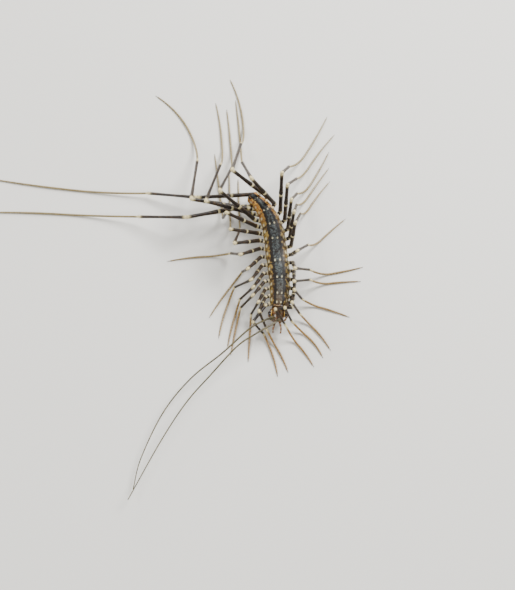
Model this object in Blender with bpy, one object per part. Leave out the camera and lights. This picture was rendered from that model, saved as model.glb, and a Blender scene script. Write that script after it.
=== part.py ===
"""House centipede (family Scutigeridae), standing on the floor with its body in a low arc.

Frame: metres, +Z up, head towards -Y, the animal's left side towards +X. The floor is z = 0,
and the whole model is centred over the origin once every piece has been made.
All sizes below are in millimetres; the meshes are scaled to metres at the end.
"""

import math

import bmesh
import bpy
from mathutils import Matrix, Vector

MM = 0.001
GAP = 0.34  # between pieces that touch

# The body: its midline from the front of the head to the tail end, seen from above
MIDLINE = [(-2.2, -17.6), (0.4, -8.5), (1.5, 0.0), (2.3, 8.5), (1.2, 15.0), (-1.7, 20.0)]
HEAD_LENGTH = 3.9
PLATE_LEGS = [1, 2, 2, 3, 2, 2, 2, 1]  # leg pairs under each back plate, front to rear
TAIL_LENGTH = 1.3
BELLY_Z = 2.5
BACK_Z = 6.3  # highest line of the back at mid-body
EDGE_DROP = 1.45  # from the back's ridge down to a plate's side edge
PLATE_HALF_WIDTH = 2.75
FLANK_HALF_WIDTH = 2.05
PLATE_STEP = 0.3  # how far a plate's rear edge stands above the next plate's front edge

# The legs, counted from the head; every length grows smoothly from the first to the fourteenth
LEG_PAIRS = 15
FIRST_HIP, LAST_HIP = 5.1, 36.4  # along the midline
HIP_Z = 3.9
COXA_RADIUS, COXA_REACH = 0.58, 1.1  # its reach is from just inside the flank
ROOT_INSET = 0.35  # how far inside the flank a coxa is measured from
COXA_FAN = (-32, 44)  # degrees off straight out, towards the tail, of the first and last
COXA_RISE = 10
LAST_HIP_DROP, LAST_COXA_RISE = 0.7, -10  # the fifteenth legs leave lower and flatter
SEAM_SHIFT = 0.3
TROCHANTER = 0.85
FEMUR_FIRST, FEMUR_GROWTH, FEMUR_LAST, FEMUR_POWER = 5.8, 9.8, 16.2, 1.6
TIBIA_FIRST, TIBIA_GROWTH, TIBIA_LAST, TIBIA_POWER = 4.9, 12.6, 14.0, 1.4
TARSUS_FIRST, TARSUS_GROWTH, TARSUS_LAST, TARSUS_POWER = 11.5, 16.5, 50.0, 2.0
FEMUR_RADIUS, FEMUR_RADIUS_GROWTH = 0.5, 0.16
TIBIA_RADIUS, TIBIA_RADIUS_GROWTH = 0.36, 0.1
TARSUS_RADIUS, TIP_RADIUS = 0.28, 0.13
LEG_SIDES = 6
SETTLE = 0.42  # share of a tarsus that comes down from the ankle to the floor
THINNING = 0.55  # share of a tarsus before it thins to its tip
TARSUS_STEPS, LAST_TARSUS_STEPS = 9, 14

# The stance of each leg, chosen by hand in steps of five degrees: the femur's heading and rise,
# the tibia's heading, the ankle's height in half millimetres, the tarsus's heading, and how far
# it curls to its tip. Headings turn from +X towards +Y; the head faces a heading of -90.
STANCE_RIGHT = [
    (-135, 5, -40, 1.0, -75, -20),
    (-120, 25, -70, 3.0, -65, -20),
    (-120, 30, -170, 2.0, -105, 0),
    (-130, 25, 180, 1.5, -115, 5),
    (-125, 30, 170, 1.5, -120, 10),
    (-125, 30, 150, 1.5, -125, 15),
    (-130, 35, 100, 1.0, -140, 10),
    (-145, 40, 105, 2.0, 165, 15),
    (-155, 40, 70, 3.5, 80, 0),
    (-165, 45, 80, 1.5, 80, 0),
    (180, 50, 90, 1.5, 85, 0),
    (150, 45, 65, 6.0, 80, 5),
    (175, 35, 65, 7.5, 75, 15),
    (170, 20, 75, 3.5, 80, 50),
    (-170, 15, 155, 2.5, 160, 10),
]
STANCE_LEFT = [
    (-165, 35, -60, 4.5, -55, -20),
    (-130, 35, -50, 3.0, -40, -40),
    (-110, 30, -20, 2.0, -50, -25),
    (-105, 40, 5, 2.5, -25, -10),
    (-105, 40, 25, 4.0, 0, -10),
    (-100, 50, 25, 4.0, -5, 10),
    (-85, 65, 50, 5.5, 40, -10),
    (45, 80, 65, 6.5, 55, -15),
    (50, 80, 70, 6.0, 50, -5),
    (60, 80, 65, 6.0, 45, 10),
    (70, 75, 60, 6.0, 55, -15),
    (75, 75, 65, 6.0, 45, 10),
    (175, 65, 90, 7.0, 80, 5),
    (170, 55, 70, 8.0, 70, 30),
    (175, 5, 155, 1.5, 165, -10),
]

# The feelers: each leaves the front of the head, then passes through a few points
ANTENNA_RADIUS, ANTENNA_TIP_RADIUS = 0.27, 0.12
ANTENNA_ROOT = (0.75, 0.95, 4.35)  # along, aside and up, inside the head
ANTENNA_REACH = 0.85
ANTENNA_RIGHT = [(-5.2, -17.4, 5.4), (-9.5, -18.9, 5.4), (-17, -23.2, 4.0), (-26, -28, 3.0),
                 (-34, -35, 2.2), (-41, -45, 1.6), (-44, -52, 1.3)]
ANTENNA_LEFT = [(-3.6, -18.9, 5.6), (-8.3, -20.8, 5.9), (-13.5, -22.9, 5.1), (-21, -28.3, 3.8),
                (-28, -33.9, 3.3), (-35.5, -42.0, 3.0), (-45.5, -54.6, 2.6)]

# The mouthparts that show, each by points along, aside and up; they leave short roots on the head
CLAW_RADIUS, CLAW_TIP_RADIUS = 0.42, 0.2
CLAW = [(3.0, 1.95, 2.75), (2.2, 2.15, 2.3), (1.4, 1.8, 1.95), (0.95, 1.05, 1.85), (0.95, 0.42, 1.8)]
PALP_RADIUS, PALP_TIP_RADIUS = 0.28, 0.25
PALP = [(-0.05, 0.62, 2.9), (-0.7, 0.85, 2.65), (-1.5, 1.0, 2.1), (-2.2, 0.9, 1.4)]
ROOT_REACH = 0.9  # of a mouthpart's root, from inside the head
EYE_PLACE = (1.9, 1.62, 4.25)  # along, aside and up, on the head's side
EYE_RADIUS, EYE_BULGE = 0.7, 0.55

COLOURS = {
    "back": ((0.10, 0.12, 0.13), 0.35),
    "leg": ((0.07, 0.05, 0.03), 0.4),
    "head": ((0.12, 0.09, 0.05), 0.4),
    "eye": ((0.01, 0.01, 0.01), 0.15),
    "feeler": ((0.20, 0.17, 0.09), 0.5),
}


def remove_everything():
    for old in list(bpy.data.objects):
        bpy.data.objects.remove(old, do_unlink=True)


def material(kind):
    found = bpy.data.materials.get(kind)
    if found:
        return found
    colour, roughness = COLOURS[kind]
    made = bpy.data.materials.new(kind)
    made.use_nodes = True
    shader = made.node_tree.nodes["Principled BSDF"]
    shader.inputs["Base Color"].default_value = (*colour, 1.0)
    shader.inputs["Roughness"].default_value = roughness
    shader.inputs["Metallic"].default_value = 0.0
    return made


def heading(yaw, rise=0.0):
    """The unit vector of a heading and a rise, both in degrees."""
    turn, lift = math.radians(yaw), math.radians(rise)
    return Vector((math.cos(turn) * math.cos(lift), math.sin(turn) * math.cos(lift), math.sin(lift)))


def smooth_path(points, per_span):
    """Points along a Catmull-Rom curve through the given ones."""
    given = [Vector(p) for p in points]
    ends = [2 * given[0] - given[1]] + given + [2 * given[-1] - given[-2]]
    path = []
    for a, b, c, d in zip(ends, ends[1:], ends[2:], ends[3:]):
        for step in range(per_span):
            t = step / per_span
            path.append(
                0.5 * (2 * b + (c - a) * t + (2 * a - 5 * b + 4 * c - d) * t**2
                       + (3 * b - a - 3 * c + d) * t**3)
            )
    path.append(given[-1])
    return path


class Midline:
    """The body's midline, measured along its length from the front of the head."""

    def __init__(self):
        self.points = smooth_path([(x, y, 0.0) for x, y in MIDLINE], 40)
        self.marks = [0.0]
        for a, b in zip(self.points, self.points[1:]):
            self.marks.append(self.marks[-1] + (b - a).length)

    def at(self, s):
        """The point at s, and the direction to the tail; straight on past either end."""
        last = len(self.marks) - 2
        i = next((k for k in range(last) if self.marks[k + 1] > s), last)
        a, b = self.points[i], self.points[i + 1]
        along = (b - a).normalized()
        return a + along * (s - self.marks[i]), along

    def place(self, s, side, z):
        """The point at s, side to the animal's left of the midline, at height z."""
        point, tail = self.at(s)
        left = Vector((tail.y, -tail.x, 0.0))
        return point + left * side + Vector((0.0, 0.0, z))


BODY = Midline()
HIP_PITCH = (LAST_HIP - FIRST_HIP) / (LEG_PAIRS - 1)
TRUNK_START = HEAD_LENGTH
TRUNK_END = LAST_HIP + HIP_PITCH / 2


def add_mesh(name, kind, bm):
    """One object from bm, with its faces pointing out."""
    bmesh.ops.recalc_face_normals(bm, faces=bm.faces[:])
    mesh = bpy.data.meshes.new(name)
    bm.to_mesh(mesh)
    bm.free()
    mesh.materials.append(material(kind))
    made = bpy.data.objects.new(name, mesh)
    bpy.context.scene.collection.objects.link(made)
    mesh.shade_smooth()
    mesh.set_sharp_from_angle(angle=math.radians(35))
    return made


def loft(rings):
    """A closed bmesh through rings of as many points each, with flat ends."""
    bm = bmesh.new()
    made = [[bm.verts.new(p) for p in ring] for ring in rings]
    count = len(rings[0])
    for a, b in zip(made, made[1:]):
        for k in range(count):
            n = (k + 1) % count
            bm.faces.new((a[k], a[n], b[n], b[k]))
    bm.faces.new(reversed(made[0]))
    bm.faces.new(made[-1])
    return bm


def frames(directions):
    """For each direction along a path, the two axes across it, turned as little as can be.

    They are carried back from the last direction, which is level, so that the flat sides of
    what lies on the floor are level too.
    """
    last = directions[-1].normalized()
    side = last.cross(Vector((0, 0, 1))).normalized()
    axes = [(side, side.cross(last))]
    ahead = last
    for direction in reversed(directions[:-1]):
        here = direction.normalized()
        side = ahead.rotation_difference(here) @ side
        side = (side - here * side.dot(here)).normalized()
        axes.append((side, side.cross(here)))
        ahead = here
    return axes[::-1]


def tube_rings(stations, sides):
    """Rings round a path of (centre, direction, radius) stations."""
    rings = []
    for (centre, _, radius), (side, up) in zip(stations, frames([s[1] for s in stations])):
        ring = []
        for k in range(sides):
            turn = 2 * math.pi * k / sides
            ring.append(centre + side * (radius * math.cos(turn)) + up * (radius * math.sin(turn)))
        rings.append(ring)
    return rings


def growth(n, first, grown, last, power):
    """A length that grows from the first leg to the fourteenth; the fifteenth has its own."""
    if n == LEG_PAIRS:
        return last
    return first + grown * ((n - 1) / (LEG_PAIRS - 2)) ** power


def body_scale(s):
    """The body's breadth at s as a share of its greatest."""
    u = (s - TRUNK_START) / (TRUNK_END - TRUNK_START)
    front = 0.80 + 0.20 * min(1.0, max(0.0, u) / 0.3)
    rear = 1.0 - 0.36 * max(0.0, (u - 0.62) / 0.38) ** 1.4
    return front * rear


def hip_along(n):
    return FIRST_HIP + HIP_PITCH * (n - 1)


def coxa_fan(n):
    return COXA_FAN[0] + (COXA_FAN[1] - COXA_FAN[0]) * (n - 1) / (LEG_PAIRS - 1)


def coxa_axis(n, left):
    """The way a coxa points: out from the flank, fanned from front to rear."""
    _, tail = BODY.at(hip_along(n))
    side = 1 if left else -1
    out_yaw = math.degrees(math.atan2(-tail.x * side, tail.y * side))
    return heading(out_yaw + coxa_fan(n) * side, LAST_COXA_RISE if n == LEG_PAIRS else COXA_RISE)


def hip(n, left):
    """The middle of a coxa's root, just inside the flank."""
    s = hip_along(n)
    side = (FLANK_HALF_WIDTH - ROOT_INSET) * body_scale(s) * (1 if left else -1)
    return BODY.place(s, side, HIP_Z - (LAST_HIP_DROP if n == LEG_PAIRS else 0.0))


def leg_stations(n, left, stance):
    """The centres, directions and radii along one leg, from its root to its tip."""
    femur_yaw, rise, tibia_yaw, ankle_z, tarsus_yaw, curl = stance
    femur_length = growth(n, FEMUR_FIRST, FEMUR_GROWTH, FEMUR_LAST, FEMUR_POWER)
    tibia_length = growth(n, TIBIA_FIRST, TIBIA_GROWTH, TIBIA_LAST, TIBIA_POWER)
    tarsus_length = growth(n, TARSUS_FIRST, TARSUS_GROWTH, TARSUS_LAST, TARSUS_POWER)
    grown = (n - 1) / (LEG_PAIRS - 1)
    thigh = FEMUR_RADIUS + FEMUR_RADIUS_GROWTH * grown
    shin = TIBIA_RADIUS + TIBIA_RADIUS_GROWTH * grown

    axis = coxa_axis(n, left)
    root = hip(n, left) + axis * (COXA_REACH + GAP)
    femur = heading(femur_yaw, rise)
    start = root + axis * TROCHANTER
    knee = start + femur * femur_length
    drop = knee.z - ankle_z
    reach = math.sqrt(tibia_length**2 - drop**2)
    ankle = knee + heading(tibia_yaw) * reach - Vector((0, 0, drop))
    tibia = (ankle - knee).normalized()

    stations = [
        (root, axis, COXA_RADIUS * 0.8),
        (start, (axis + femur).normalized(), thigh * 0.92),
        (start + femur * 0.9, femur, thigh * 0.95),
        (start + femur * femur_length * 0.42, femur, thigh * 0.8),
        (start + femur * femur_length * 0.5, femur, thigh * 0.98),
        (start + femur * (femur_length - 1.1), femur, thigh * 0.82),
        (knee, (femur + tibia).normalized(), shin * 1.05),
        (knee + tibia * 1.0, tibia, shin * 1.08),
        (knee + tibia * (knee - ankle).length * 0.5, tibia, shin * 0.9),
        (ankle - tibia * 0.9, tibia, shin * 0.86),
    ]
    count = LAST_TARSUS_STEPS if n == LEG_PAIRS else TARSUS_STEPS
    return stations + tarsus_stations(ankle, tibia, tarsus_yaw, curl, tarsus_length, count)


def tarsus_stations(ankle, tibia, yaw, curl, length, count):
    """The tarsus: down from the ankle to the floor, then flat along it with a gentle curl."""
    flat = math.cos(math.pi / LEG_SIDES)
    rest_z = TARSUS_RADIUS * flat
    stations = []
    centre = Vector(ankle)
    for k in range(count + 1):
        u = k / count
        radius = TARSUS_RADIUS + (TIP_RADIUS - TARSUS_RADIUS) * max(0.0, (u - THINNING) / (1 - THINNING))
        direction = heading(yaw + curl * u)
        if u < SETTLE:
            fall = (1 - u / SETTLE) ** 2
            centre.z = rest_z + (ankle.z - rest_z) * fall
            slope = 2 * (ankle.z - rest_z) * (1 - u / SETTLE) / (SETTLE * length)
            direction = (direction - Vector((0, 0, slope))).normalized()
            if k == 0:
                direction = (direction + tibia).normalized()
        else:
            centre.z = radius * flat
        stations.append((Vector(centre), direction, radius * (1.12 if k == 0 else 1.0)))
        step = heading(yaw + curl * (u + 0.5 / count)) * (length / count)
        centre = Vector((centre.x + step.x, centre.y + step.y, centre.z))
    return stations


def curve_stations(points, per_span, radius, tip_radius):
    """Stations along a curve through the points, thinning evenly to its tip."""
    path = smooth_path(points, per_span)
    stations = []
    for k, centre in enumerate(path):
        ahead = path[min(k + 1, len(path) - 1)] - path[max(k - 1, 0)]
        share = k / (len(path) - 1)
        stations.append((centre, ahead.normalized(), radius + (tip_radius - radius) * share))
    return stations


def make_leg(n, left, stance):
    name = f"leg_{'left' if left else 'right'}_{n:02d}"
    rings = tube_rings(leg_stations(n, left, stance), LEG_SIDES)
    return add_mesh(name, "leg", loft(rings))


def trunk_ring(s, scale, lift):
    """A cross-section of the trunk: a domed plate over narrower flanks."""
    plate = PLATE_HALF_WIDTH * scale
    flank = FLANK_HALF_WIDTH * scale
    top = BELLY_Z + (BACK_Z - BELLY_Z) * (0.62 + 0.38 * scale) + lift
    edge = top - EDGE_DROP * (0.4 + 0.6 * scale)
    half = [
        (0.40 * plate, top - 0.10),
        (0.74 * plate, top - 0.42),
        (0.95 * plate, edge + 0.24),
        (plate, edge),
        (flank, edge - 0.32),
        (flank, BELLY_Z + 0.75),
        (0.6 * flank, BELLY_Z),
    ]
    outline = [(0.0, top)] + half + [(-x, z) for x, z in reversed(half)]
    return [BODY.place(s, x, z) for x, z in outline]


def trunk_length(number, start, end):
    """One length of the trunk with its raised back plate, before its coxae are joined."""
    steps = [
        (0.0, -0.10, -PLATE_STEP * 0.75),
        (0.14, 0.0, -PLATE_STEP * 0.25),
        (0.5, 0.02, 0.0),
        (0.88, 0.0, PLATE_STEP * 0.4),
        (1.0, -0.03, PLATE_STEP * 0.45),
    ]
    rings = []
    for share, swell, lift in steps:
        s = start + GAP / 2 + (end - start - GAP) * share
        rings.append(trunk_ring(s, body_scale(s) + swell, lift))
    return add_mesh(f"trunk_{number}", "back", loft(rings))


def peg(name, root, axis, radius, reach, kind="back"):
    """A short root with a flat end, from inside the body to where a limb starts."""
    stations = [
        (root - axis * ROOT_INSET, axis, radius * 0.8),
        (root + axis * reach * 0.45, axis, radius),
        (root + axis * reach, axis, radius * 0.88),
    ]
    return add_mesh(name, kind, loft(tube_rings(stations, 8)))


def join_all(base, parts):
    """Joins closed parts to base by one Boolean union, and removes them."""
    group = bpy.data.collections.new(base.name + "_parts")
    bpy.context.scene.collection.children.link(group)
    for part in parts:
        bpy.context.scene.collection.objects.unlink(part)
        group.objects.link(part)
    union = base.modifiers.new("join", "BOOLEAN")
    union.operation = "UNION"
    union.operand_type = "COLLECTION"
    union.collection = group
    union.solver = "EXACT"
    evaluated = base.evaluated_get(bpy.context.evaluated_depsgraph_get())
    joined = bpy.data.meshes.new_from_object(evaluated)
    base.modifiers.clear()
    base.data = joined
    for part in parts:
        bpy.data.objects.remove(part, do_unlink=True)
    bpy.data.collections.remove(group)
    keep_largest(base.data)


def keep_largest(mesh):
    """Drops every closed surface but the largest."""
    bm = bmesh.new()
    bm.from_mesh(mesh)
    seen, shells = set(), []
    for face in bm.faces:
        if face in seen:
            continue
        shell, todo = [], [face]
        seen.add(face)
        while todo:
            here = todo.pop()
            shell.append(here)
            for edge in here.edges:
                for near in edge.link_faces:
                    if near not in seen:
                        seen.add(near)
                        todo.append(near)
        shells.append(shell)
    shells.sort(key=lambda shell: sum(f.calc_area() for f in shell))
    for shell in shells[:-1]:
        bmesh.ops.delete(bm, geom=shell, context="FACES")
    bm.to_mesh(mesh)
    bm.free()


def seam_after(n):
    """Where a plate ends behind leg pair n: midway between the two fanned coxae."""
    if n == LEG_PAIRS:
        return TRUNK_END
    return hip_along(n) + HIP_PITCH / 2 + SEAM_SHIFT * math.sin(math.radians(coxa_fan(n + 0.5)))


def make_trunk():
    """The trunk in lengths, each with the coxae of its legs."""
    start, first = TRUNK_START, 1
    for number, pairs in enumerate(PLATE_LEGS, start=1):
        end = seam_after(first + pairs - 1)
        base = trunk_length(number, start, end)
        roots = []
        for n in range(first, first + pairs):
            for left in (True, False):
                roots.append(peg("coxa", hip(n, left), coxa_axis(n, left), COXA_RADIUS, COXA_REACH))
        join_all(base, roots)
        start, first = end, first + pairs


def ellipse_ring(s, half_width, low, high, sides=12):
    """An oval cross-section on the midline between two heights."""
    middle, half = (low + high) / 2, (high - low) / 2
    ring = []
    for k in range(sides):
        turn = 2 * math.pi * (k + 0.5) / sides
        ring.append(BODY.place(s, half_width * math.cos(turn), middle + half * math.sin(turn)))
    return ring


def make_tail():
    start = TRUNK_END + GAP / 2
    rings = [
        ellipse_ring(start, 0.95, 2.9, 4.3, 8),
        ellipse_ring(start + TAIL_LENGTH * 0.55, 0.75, 2.95, 4.1, 8),
        ellipse_ring(start + TAIL_LENGTH, 0.32, 3.1, 3.7, 8),
    ]
    add_mesh("tail", "back", loft(rings))


def head_root(along, aside, up, left, axis, radius, reach):
    """A peg on the head, and the place and the way that what it carries starts."""
    root = BODY.place(along, aside if left else -aside, up)
    made = peg("root", root, axis, radius, reach, "head")
    return made, root + axis * (reach + GAP)


def make_head():
    """The head with the short roots of its feelers and mouthparts, and those limbs themselves."""
    rings = [
        ellipse_ring(0.15, 0.7, 3.1, 4.0),
        ellipse_ring(0.55, 1.2, 2.8, 4.6),
        ellipse_ring(1.4, 1.55, 2.65, 5.15),
        ellipse_ring(2.4, 1.65, 2.6, 5.35),
        ellipse_ring(3.2, 1.6, 2.6, 5.3),
        ellipse_ring(HEAD_LENGTH - GAP / 2, 1.3, 2.8, 5.0),
    ]
    head = add_mesh("head", "head", loft(rings))
    roots = []
    for left in (True, False):
        roots += make_head_limbs(left)
    join_all(head, roots)


def make_head_limbs(left):
    """One side's eye, feeler, poison claw and palp; returns the roots to join to the head."""
    side, word = (1, "left") if left else (-1, "right")
    _, tail = BODY.at(0.0)
    out = Vector((tail.y, -tail.x, 0.0)) * side

    along, aside, up = EYE_PLACE
    place = BODY.place(along, side * (aside + GAP), up)
    dome = [(0.0, 0.9), (0.3, 1.0), (0.75, 0.72), (1.0, 0.3)]
    stations = [(place + out * (EYE_BULGE * u), out, EYE_RADIUS * r) for u, r in dome]
    add_mesh(f"eye_{word}", "eye", loft(tube_rings(stations, 12)))

    points = ANTENNA_LEFT if left else ANTENNA_RIGHT
    along, aside, up = ANTENNA_ROOT
    root = BODY.place(along, side * aside, up)
    axis = (Vector(points[0]) - root).normalized()
    made, start = head_root(along, aside, up, left, axis, ANTENNA_RADIUS * 1.5, ANTENNA_REACH)
    stations = curve_stations([start, start + axis * 0.5] + points, 5, ANTENNA_RADIUS, ANTENNA_TIP_RADIUS)
    add_mesh(f"antenna_{word}", "feeler", loft(tube_rings(stations, 6)))

    roots = [made]
    for name, path, radius, tip in (("forcipule", CLAW, CLAW_RADIUS, CLAW_TIP_RADIUS),
                                    ("palp", PALP, PALP_RADIUS, PALP_TIP_RADIUS)):
        points = [BODY.place(s, side * x, z) for s, x, z in path]
        stations = curve_stations(points, 3, radius, tip)
        add_mesh(f"{name}_{word}", "head", loft(tube_rings(stations, 8)))
        back = -stations[0][1]
        end = points[0] + back * GAP
        roots.append(peg("root", end + back * ROOT_REACH, -back, radius, ROOT_REACH, "head"))
    return roots


def settle():
    """Scales every mesh to metres and centres them all over the origin."""
    made = [o for o in bpy.context.scene.collection.objects if o.type == "MESH"]
    places = [v.co for o in made for v in o.data.vertices]
    middle = [(min(p[k] for p in places) + max(p[k] for p in places)) / 2 for k in range(2)]
    lowest = min(p.z for p in places)
    shift = Matrix.Translation((-middle[0], -middle[1], -lowest))
    for o in made:
        o.data.transform(Matrix.Scale(MM, 4) @ shift)


def main():
    remove_everything()
    make_head()
    make_trunk()
    make_tail()
    for n in range(1, LEG_PAIRS + 1):
        make_leg(n, True, STANCE_LEFT[n - 1])
        make_leg(n, False, STANCE_RIGHT[n - 1])
    settle()


main()
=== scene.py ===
"""The looks of a still, life-size house centipede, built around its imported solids.

Sizes are in millimetres and angles in degrees. Headings turn from +X, the animal's left,
towards +Y, its tail; the floor is z = 0.
"""

import logging
import math
from dataclasses import dataclass
from enum import Enum
from typing import Optional, Sequence, Union

import bpy
import numpy as np
from mathutils import Matrix, Vector


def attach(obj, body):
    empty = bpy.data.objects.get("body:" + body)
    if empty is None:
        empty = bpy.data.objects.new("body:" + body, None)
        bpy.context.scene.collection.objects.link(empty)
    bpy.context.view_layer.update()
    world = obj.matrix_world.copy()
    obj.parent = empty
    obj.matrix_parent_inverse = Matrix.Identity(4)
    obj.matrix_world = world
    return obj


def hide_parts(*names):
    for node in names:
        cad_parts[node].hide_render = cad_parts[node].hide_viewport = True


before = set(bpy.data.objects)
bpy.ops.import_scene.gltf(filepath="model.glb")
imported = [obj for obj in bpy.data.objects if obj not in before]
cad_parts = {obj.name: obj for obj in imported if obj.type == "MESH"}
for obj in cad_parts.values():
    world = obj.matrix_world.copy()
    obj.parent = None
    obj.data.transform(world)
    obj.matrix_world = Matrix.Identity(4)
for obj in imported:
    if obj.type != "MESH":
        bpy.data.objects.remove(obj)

LOG = logging.getLogger("centipede")
MM = 0.001
BODY = "root"
Numbers = Union[float, np.ndarray]
UP = np.array([0.0, 0.0, 1.0])
SHELL, HAIR = 0, 1  # a piece's material slots: its shell, and its hairs and spines

# The body's midline from the front of the head to the tail end, seen from above
MIDLINE = [(-2.2, -17.6), (0.4, -8.5), (1.5, 0.0), (2.3, 8.5), (1.2, 15.0), (-1.7, 20.0)]
# How far the midline's own numbers lie from the frame, whose origin is under the whole model's middle
CENTRING = np.array([26.583, -3.503, 0.0])
HEAD_LENGTH = 3.9
PLATE_LEGS = (1, 2, 2, 3, 2, 2, 2, 1)
BELLY_Z, BACK_Z, EDGE_DROP = 2.5, 6.3, 1.45
PLATE_HALF_WIDTH, FLANK_HALF_WIDTH = 2.75, 2.05
PLATE_STEP = 0.3
LEG_PAIRS = 15
FIRST_HIP, LAST_HIP = 5.1, 36.4
HIP_PITCH = (LAST_HIP - FIRST_HIP) / (LEG_PAIRS - 1)
TRUNK_END = LAST_HIP + HIP_PITCH / 2
TAIL_LENGTH = 1.3
NECK_SCALE, NECK_SHARE = 0.80, 0.3  # the body's breadth at the neck, and the share it widens over
TAPER, TAPER_FROM, TAPER_POWER = 0.36, 0.62, 1.4  # how it narrows to the tail
CROWN_SHARE = 0.38  # how much of the body's height goes with its breadth
FIRST_FAN, LAST_FAN = -32.0, 44.0  # how far the first and last hips point back off straight out
KEELS = 5  # a leg's long keels, each with its row of spines


class Side(Enum):
    """The animal's own sides; the value is the sign of +X."""

    LEFT = 1
    RIGHT = -1

    @property
    def word(self) -> str:
        """The side's name as the nodes spell it."""
        return self.name.lower()


class Mark(Enum):
    """The per-point numbers that the finishes read."""

    PALE = "pale"  # 1 where the cuticle is cream, as at the joints, and on the painted highlight on top of the coxae
    ALONG = "along"  # 0 at the head to 1 at the tail
    ACROSS = "across"  # 0 on a plate's middle line to 1 at its edge
    RING = "ring"  # 1 on the dark joints between the rings of a foot or feeler
    FOOT = "foot"  # 1 on the many-ringed foot, 0 on the rest of a leg
    DARK = "dark"  # 1 where the cuticle is tanned darkest, as on tips; darker along the back plates' side edges, and painted shade along their rear edges, where each stands over the next


@dataclass(frozen=True)
class Stance:
    """How one leg is held: headings and rises, and the ankle's height."""

    femur: float
    rise: float
    tibia: float
    ankle_z: float
    foot: float
    curl: float


RIGHT_STANCES = [
    Stance(-135, 5, -40, 1.0, -75, -20),
    Stance(-120, 25, -70, 3.0, -65, -20),
    Stance(-120, 30, -170, 2.0, -105, 0),
    Stance(-130, 25, 180, 1.5, -115, 5),
    Stance(-125, 30, 170, 1.5, -120, 10),
    Stance(-125, 30, 150, 1.5, -125, 15),
    Stance(-130, 35, 100, 1.0, -140, 10),
    Stance(-145, 40, 105, 2.0, 165, 15),
    Stance(-155, 40, 70, 3.5, 80, 0),
    Stance(-165, 45, 80, 1.5, 80, 0),
    Stance(180, 50, 90, 1.5, 85, 0),
    Stance(150, 45, 65, 6.0, 80, 5),
    Stance(175, 35, 65, 7.5, 75, 15),
    Stance(170, 20, 75, 3.5, 80, 50),
    Stance(-170, 15, 155, 2.5, 160, 10),
]
LEFT_STANCES = [
    Stance(-165, 35, -60, 4.5, -55, -20),
    Stance(-130, 35, -50, 3.0, -40, -40),
    Stance(-110, 30, -20, 2.0, -50, -25),
    Stance(-105, 40, 5, 2.5, -25, -10),
    Stance(-105, 40, 25, 4.0, 0, -10),
    Stance(-100, 50, 25, 4.0, -5, 10),
    Stance(-85, 65, 50, 5.5, 40, -10),
    Stance(45, 80, 65, 6.5, 55, -15),
    Stance(50, 80, 70, 6.0, 50, -5),
    Stance(60, 80, 65, 6.0, 45, 10),
    Stance(70, 75, 60, 6.0, 55, -15),
    Stance(75, 75, 65, 6.0, 45, 10),
    Stance(175, 65, 90, 7.0, 80, 5),
    Stance(170, 55, 70, 8.0, 70, 30),
    Stance(175, 5, 155, 1.5, 165, -10),
]
STANCES = {Side.RIGHT: RIGHT_STANCES, Side.LEFT: LEFT_STANCES}


def heading(yaw: float, rise: float = 0.0) -> np.ndarray:
    """The unit vector of a heading and a rise."""
    turn, lift = math.radians(yaw), math.radians(rise)
    return np.array([math.cos(turn) * math.cos(lift), math.sin(turn) * math.cos(lift), math.sin(lift)])


def unit(v: np.ndarray) -> np.ndarray:
    """v at length one."""
    return v / max(float(np.linalg.norm(v)), 1e-9)


def smooth_path(points: Sequence[Sequence[float]], per_span: int) -> np.ndarray:
    """Points along a Catmull-Rom curve.

    Args:
        points: what the curve passes through.
        per_span: steps between two given points.

    Returns:
        The curve's points, one to a row.
    """
    given = [np.array(p, float) for p in points]
    ends = [2 * given[0] - given[1]] + given + [2 * given[-1] - given[-2]]
    path = []
    for a, b, c, d in zip(ends, ends[1:], ends[2:], ends[3:]):
        for step in range(per_span):
            t = step / per_span
            path.append(0.5 * (2 * b + (c - a) * t + (2 * a - 5 * b + 4 * c - d) * t**2
                               + (3 * b - a - 3 * c + d) * t**3))
    path.append(given[-1])
    return np.array(path)


def bump(x: Numbers, centre: float, width: float) -> Numbers:
    """A smooth hump of height one."""
    return np.exp(-(((x - centre) / width) ** 2))


class Midline:
    """The body's midline, measured from the front of the head."""

    def __init__(self) -> None:
        """Measures the curve."""
        self.points = smooth_path([(x, y, 0.0) for x, y in MIDLINE], 40)
        steps = np.linalg.norm(np.diff(self.points, axis=0), axis=1)
        self.marks = np.concatenate([[0.0], np.cumsum(steps)])

    def at(self, s: float) -> tuple[np.ndarray, np.ndarray]:
        """The point at s and the direction to the tail; straight on past either end.

        Args:
            s: the distance from the front of the head.

        Returns:
            The point, and the unit vector to the tail.
        """
        i = int(np.clip(np.searchsorted(self.marks, s, side="right") - 1, 0, len(self.marks) - 2))
        along = unit(self.points[i + 1] - self.points[i])
        return self.points[i] + along * (s - self.marks[i]), along

    def place(self, s: float, aside: float, z: float) -> np.ndarray:
        """The point at s, aside to the animal's left, at height z."""
        point, tail = self.at(s)
        return point + np.array([tail[1], -tail[0], 0.0]) * aside + UP * z

    def smooth_place(self, s: float, aside: float, z: float) -> np.ndarray:
        """As place, with the direction averaged over a millimetre, for shells that must not crease."""
        tail = unit(self.at(s + 0.5)[0] - self.at(s - 0.5)[0])
        return self.at(s)[0] + np.array([tail[1], -tail[0], 0.0]) * aside + UP * z


SPINE = Midline()


def body_scale(s: float) -> float:
    """The body's breadth at s as a share of its greatest.

    Args:
        s: the distance from the front of the head.

    Returns:
        The share.
    """
    u = (s - HEAD_LENGTH) / (TRUNK_END - HEAD_LENGTH)
    front = NECK_SCALE + (1 - NECK_SCALE) * min(1.0, max(0.0, u) / NECK_SHARE)
    rear = 1.0 - TAPER * max(0.0, (u - TAPER_FROM) / (1 - TAPER_FROM)) ** TAPER_POWER
    return front * rear


def back_height(scale: Numbers) -> Numbers:
    """The height of the trunk's back where its breadth is the share scale."""
    return BELLY_Z + (BACK_Z - BELLY_Z) * (1 - CROWN_SHARE + CROWN_SHARE * scale)


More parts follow.
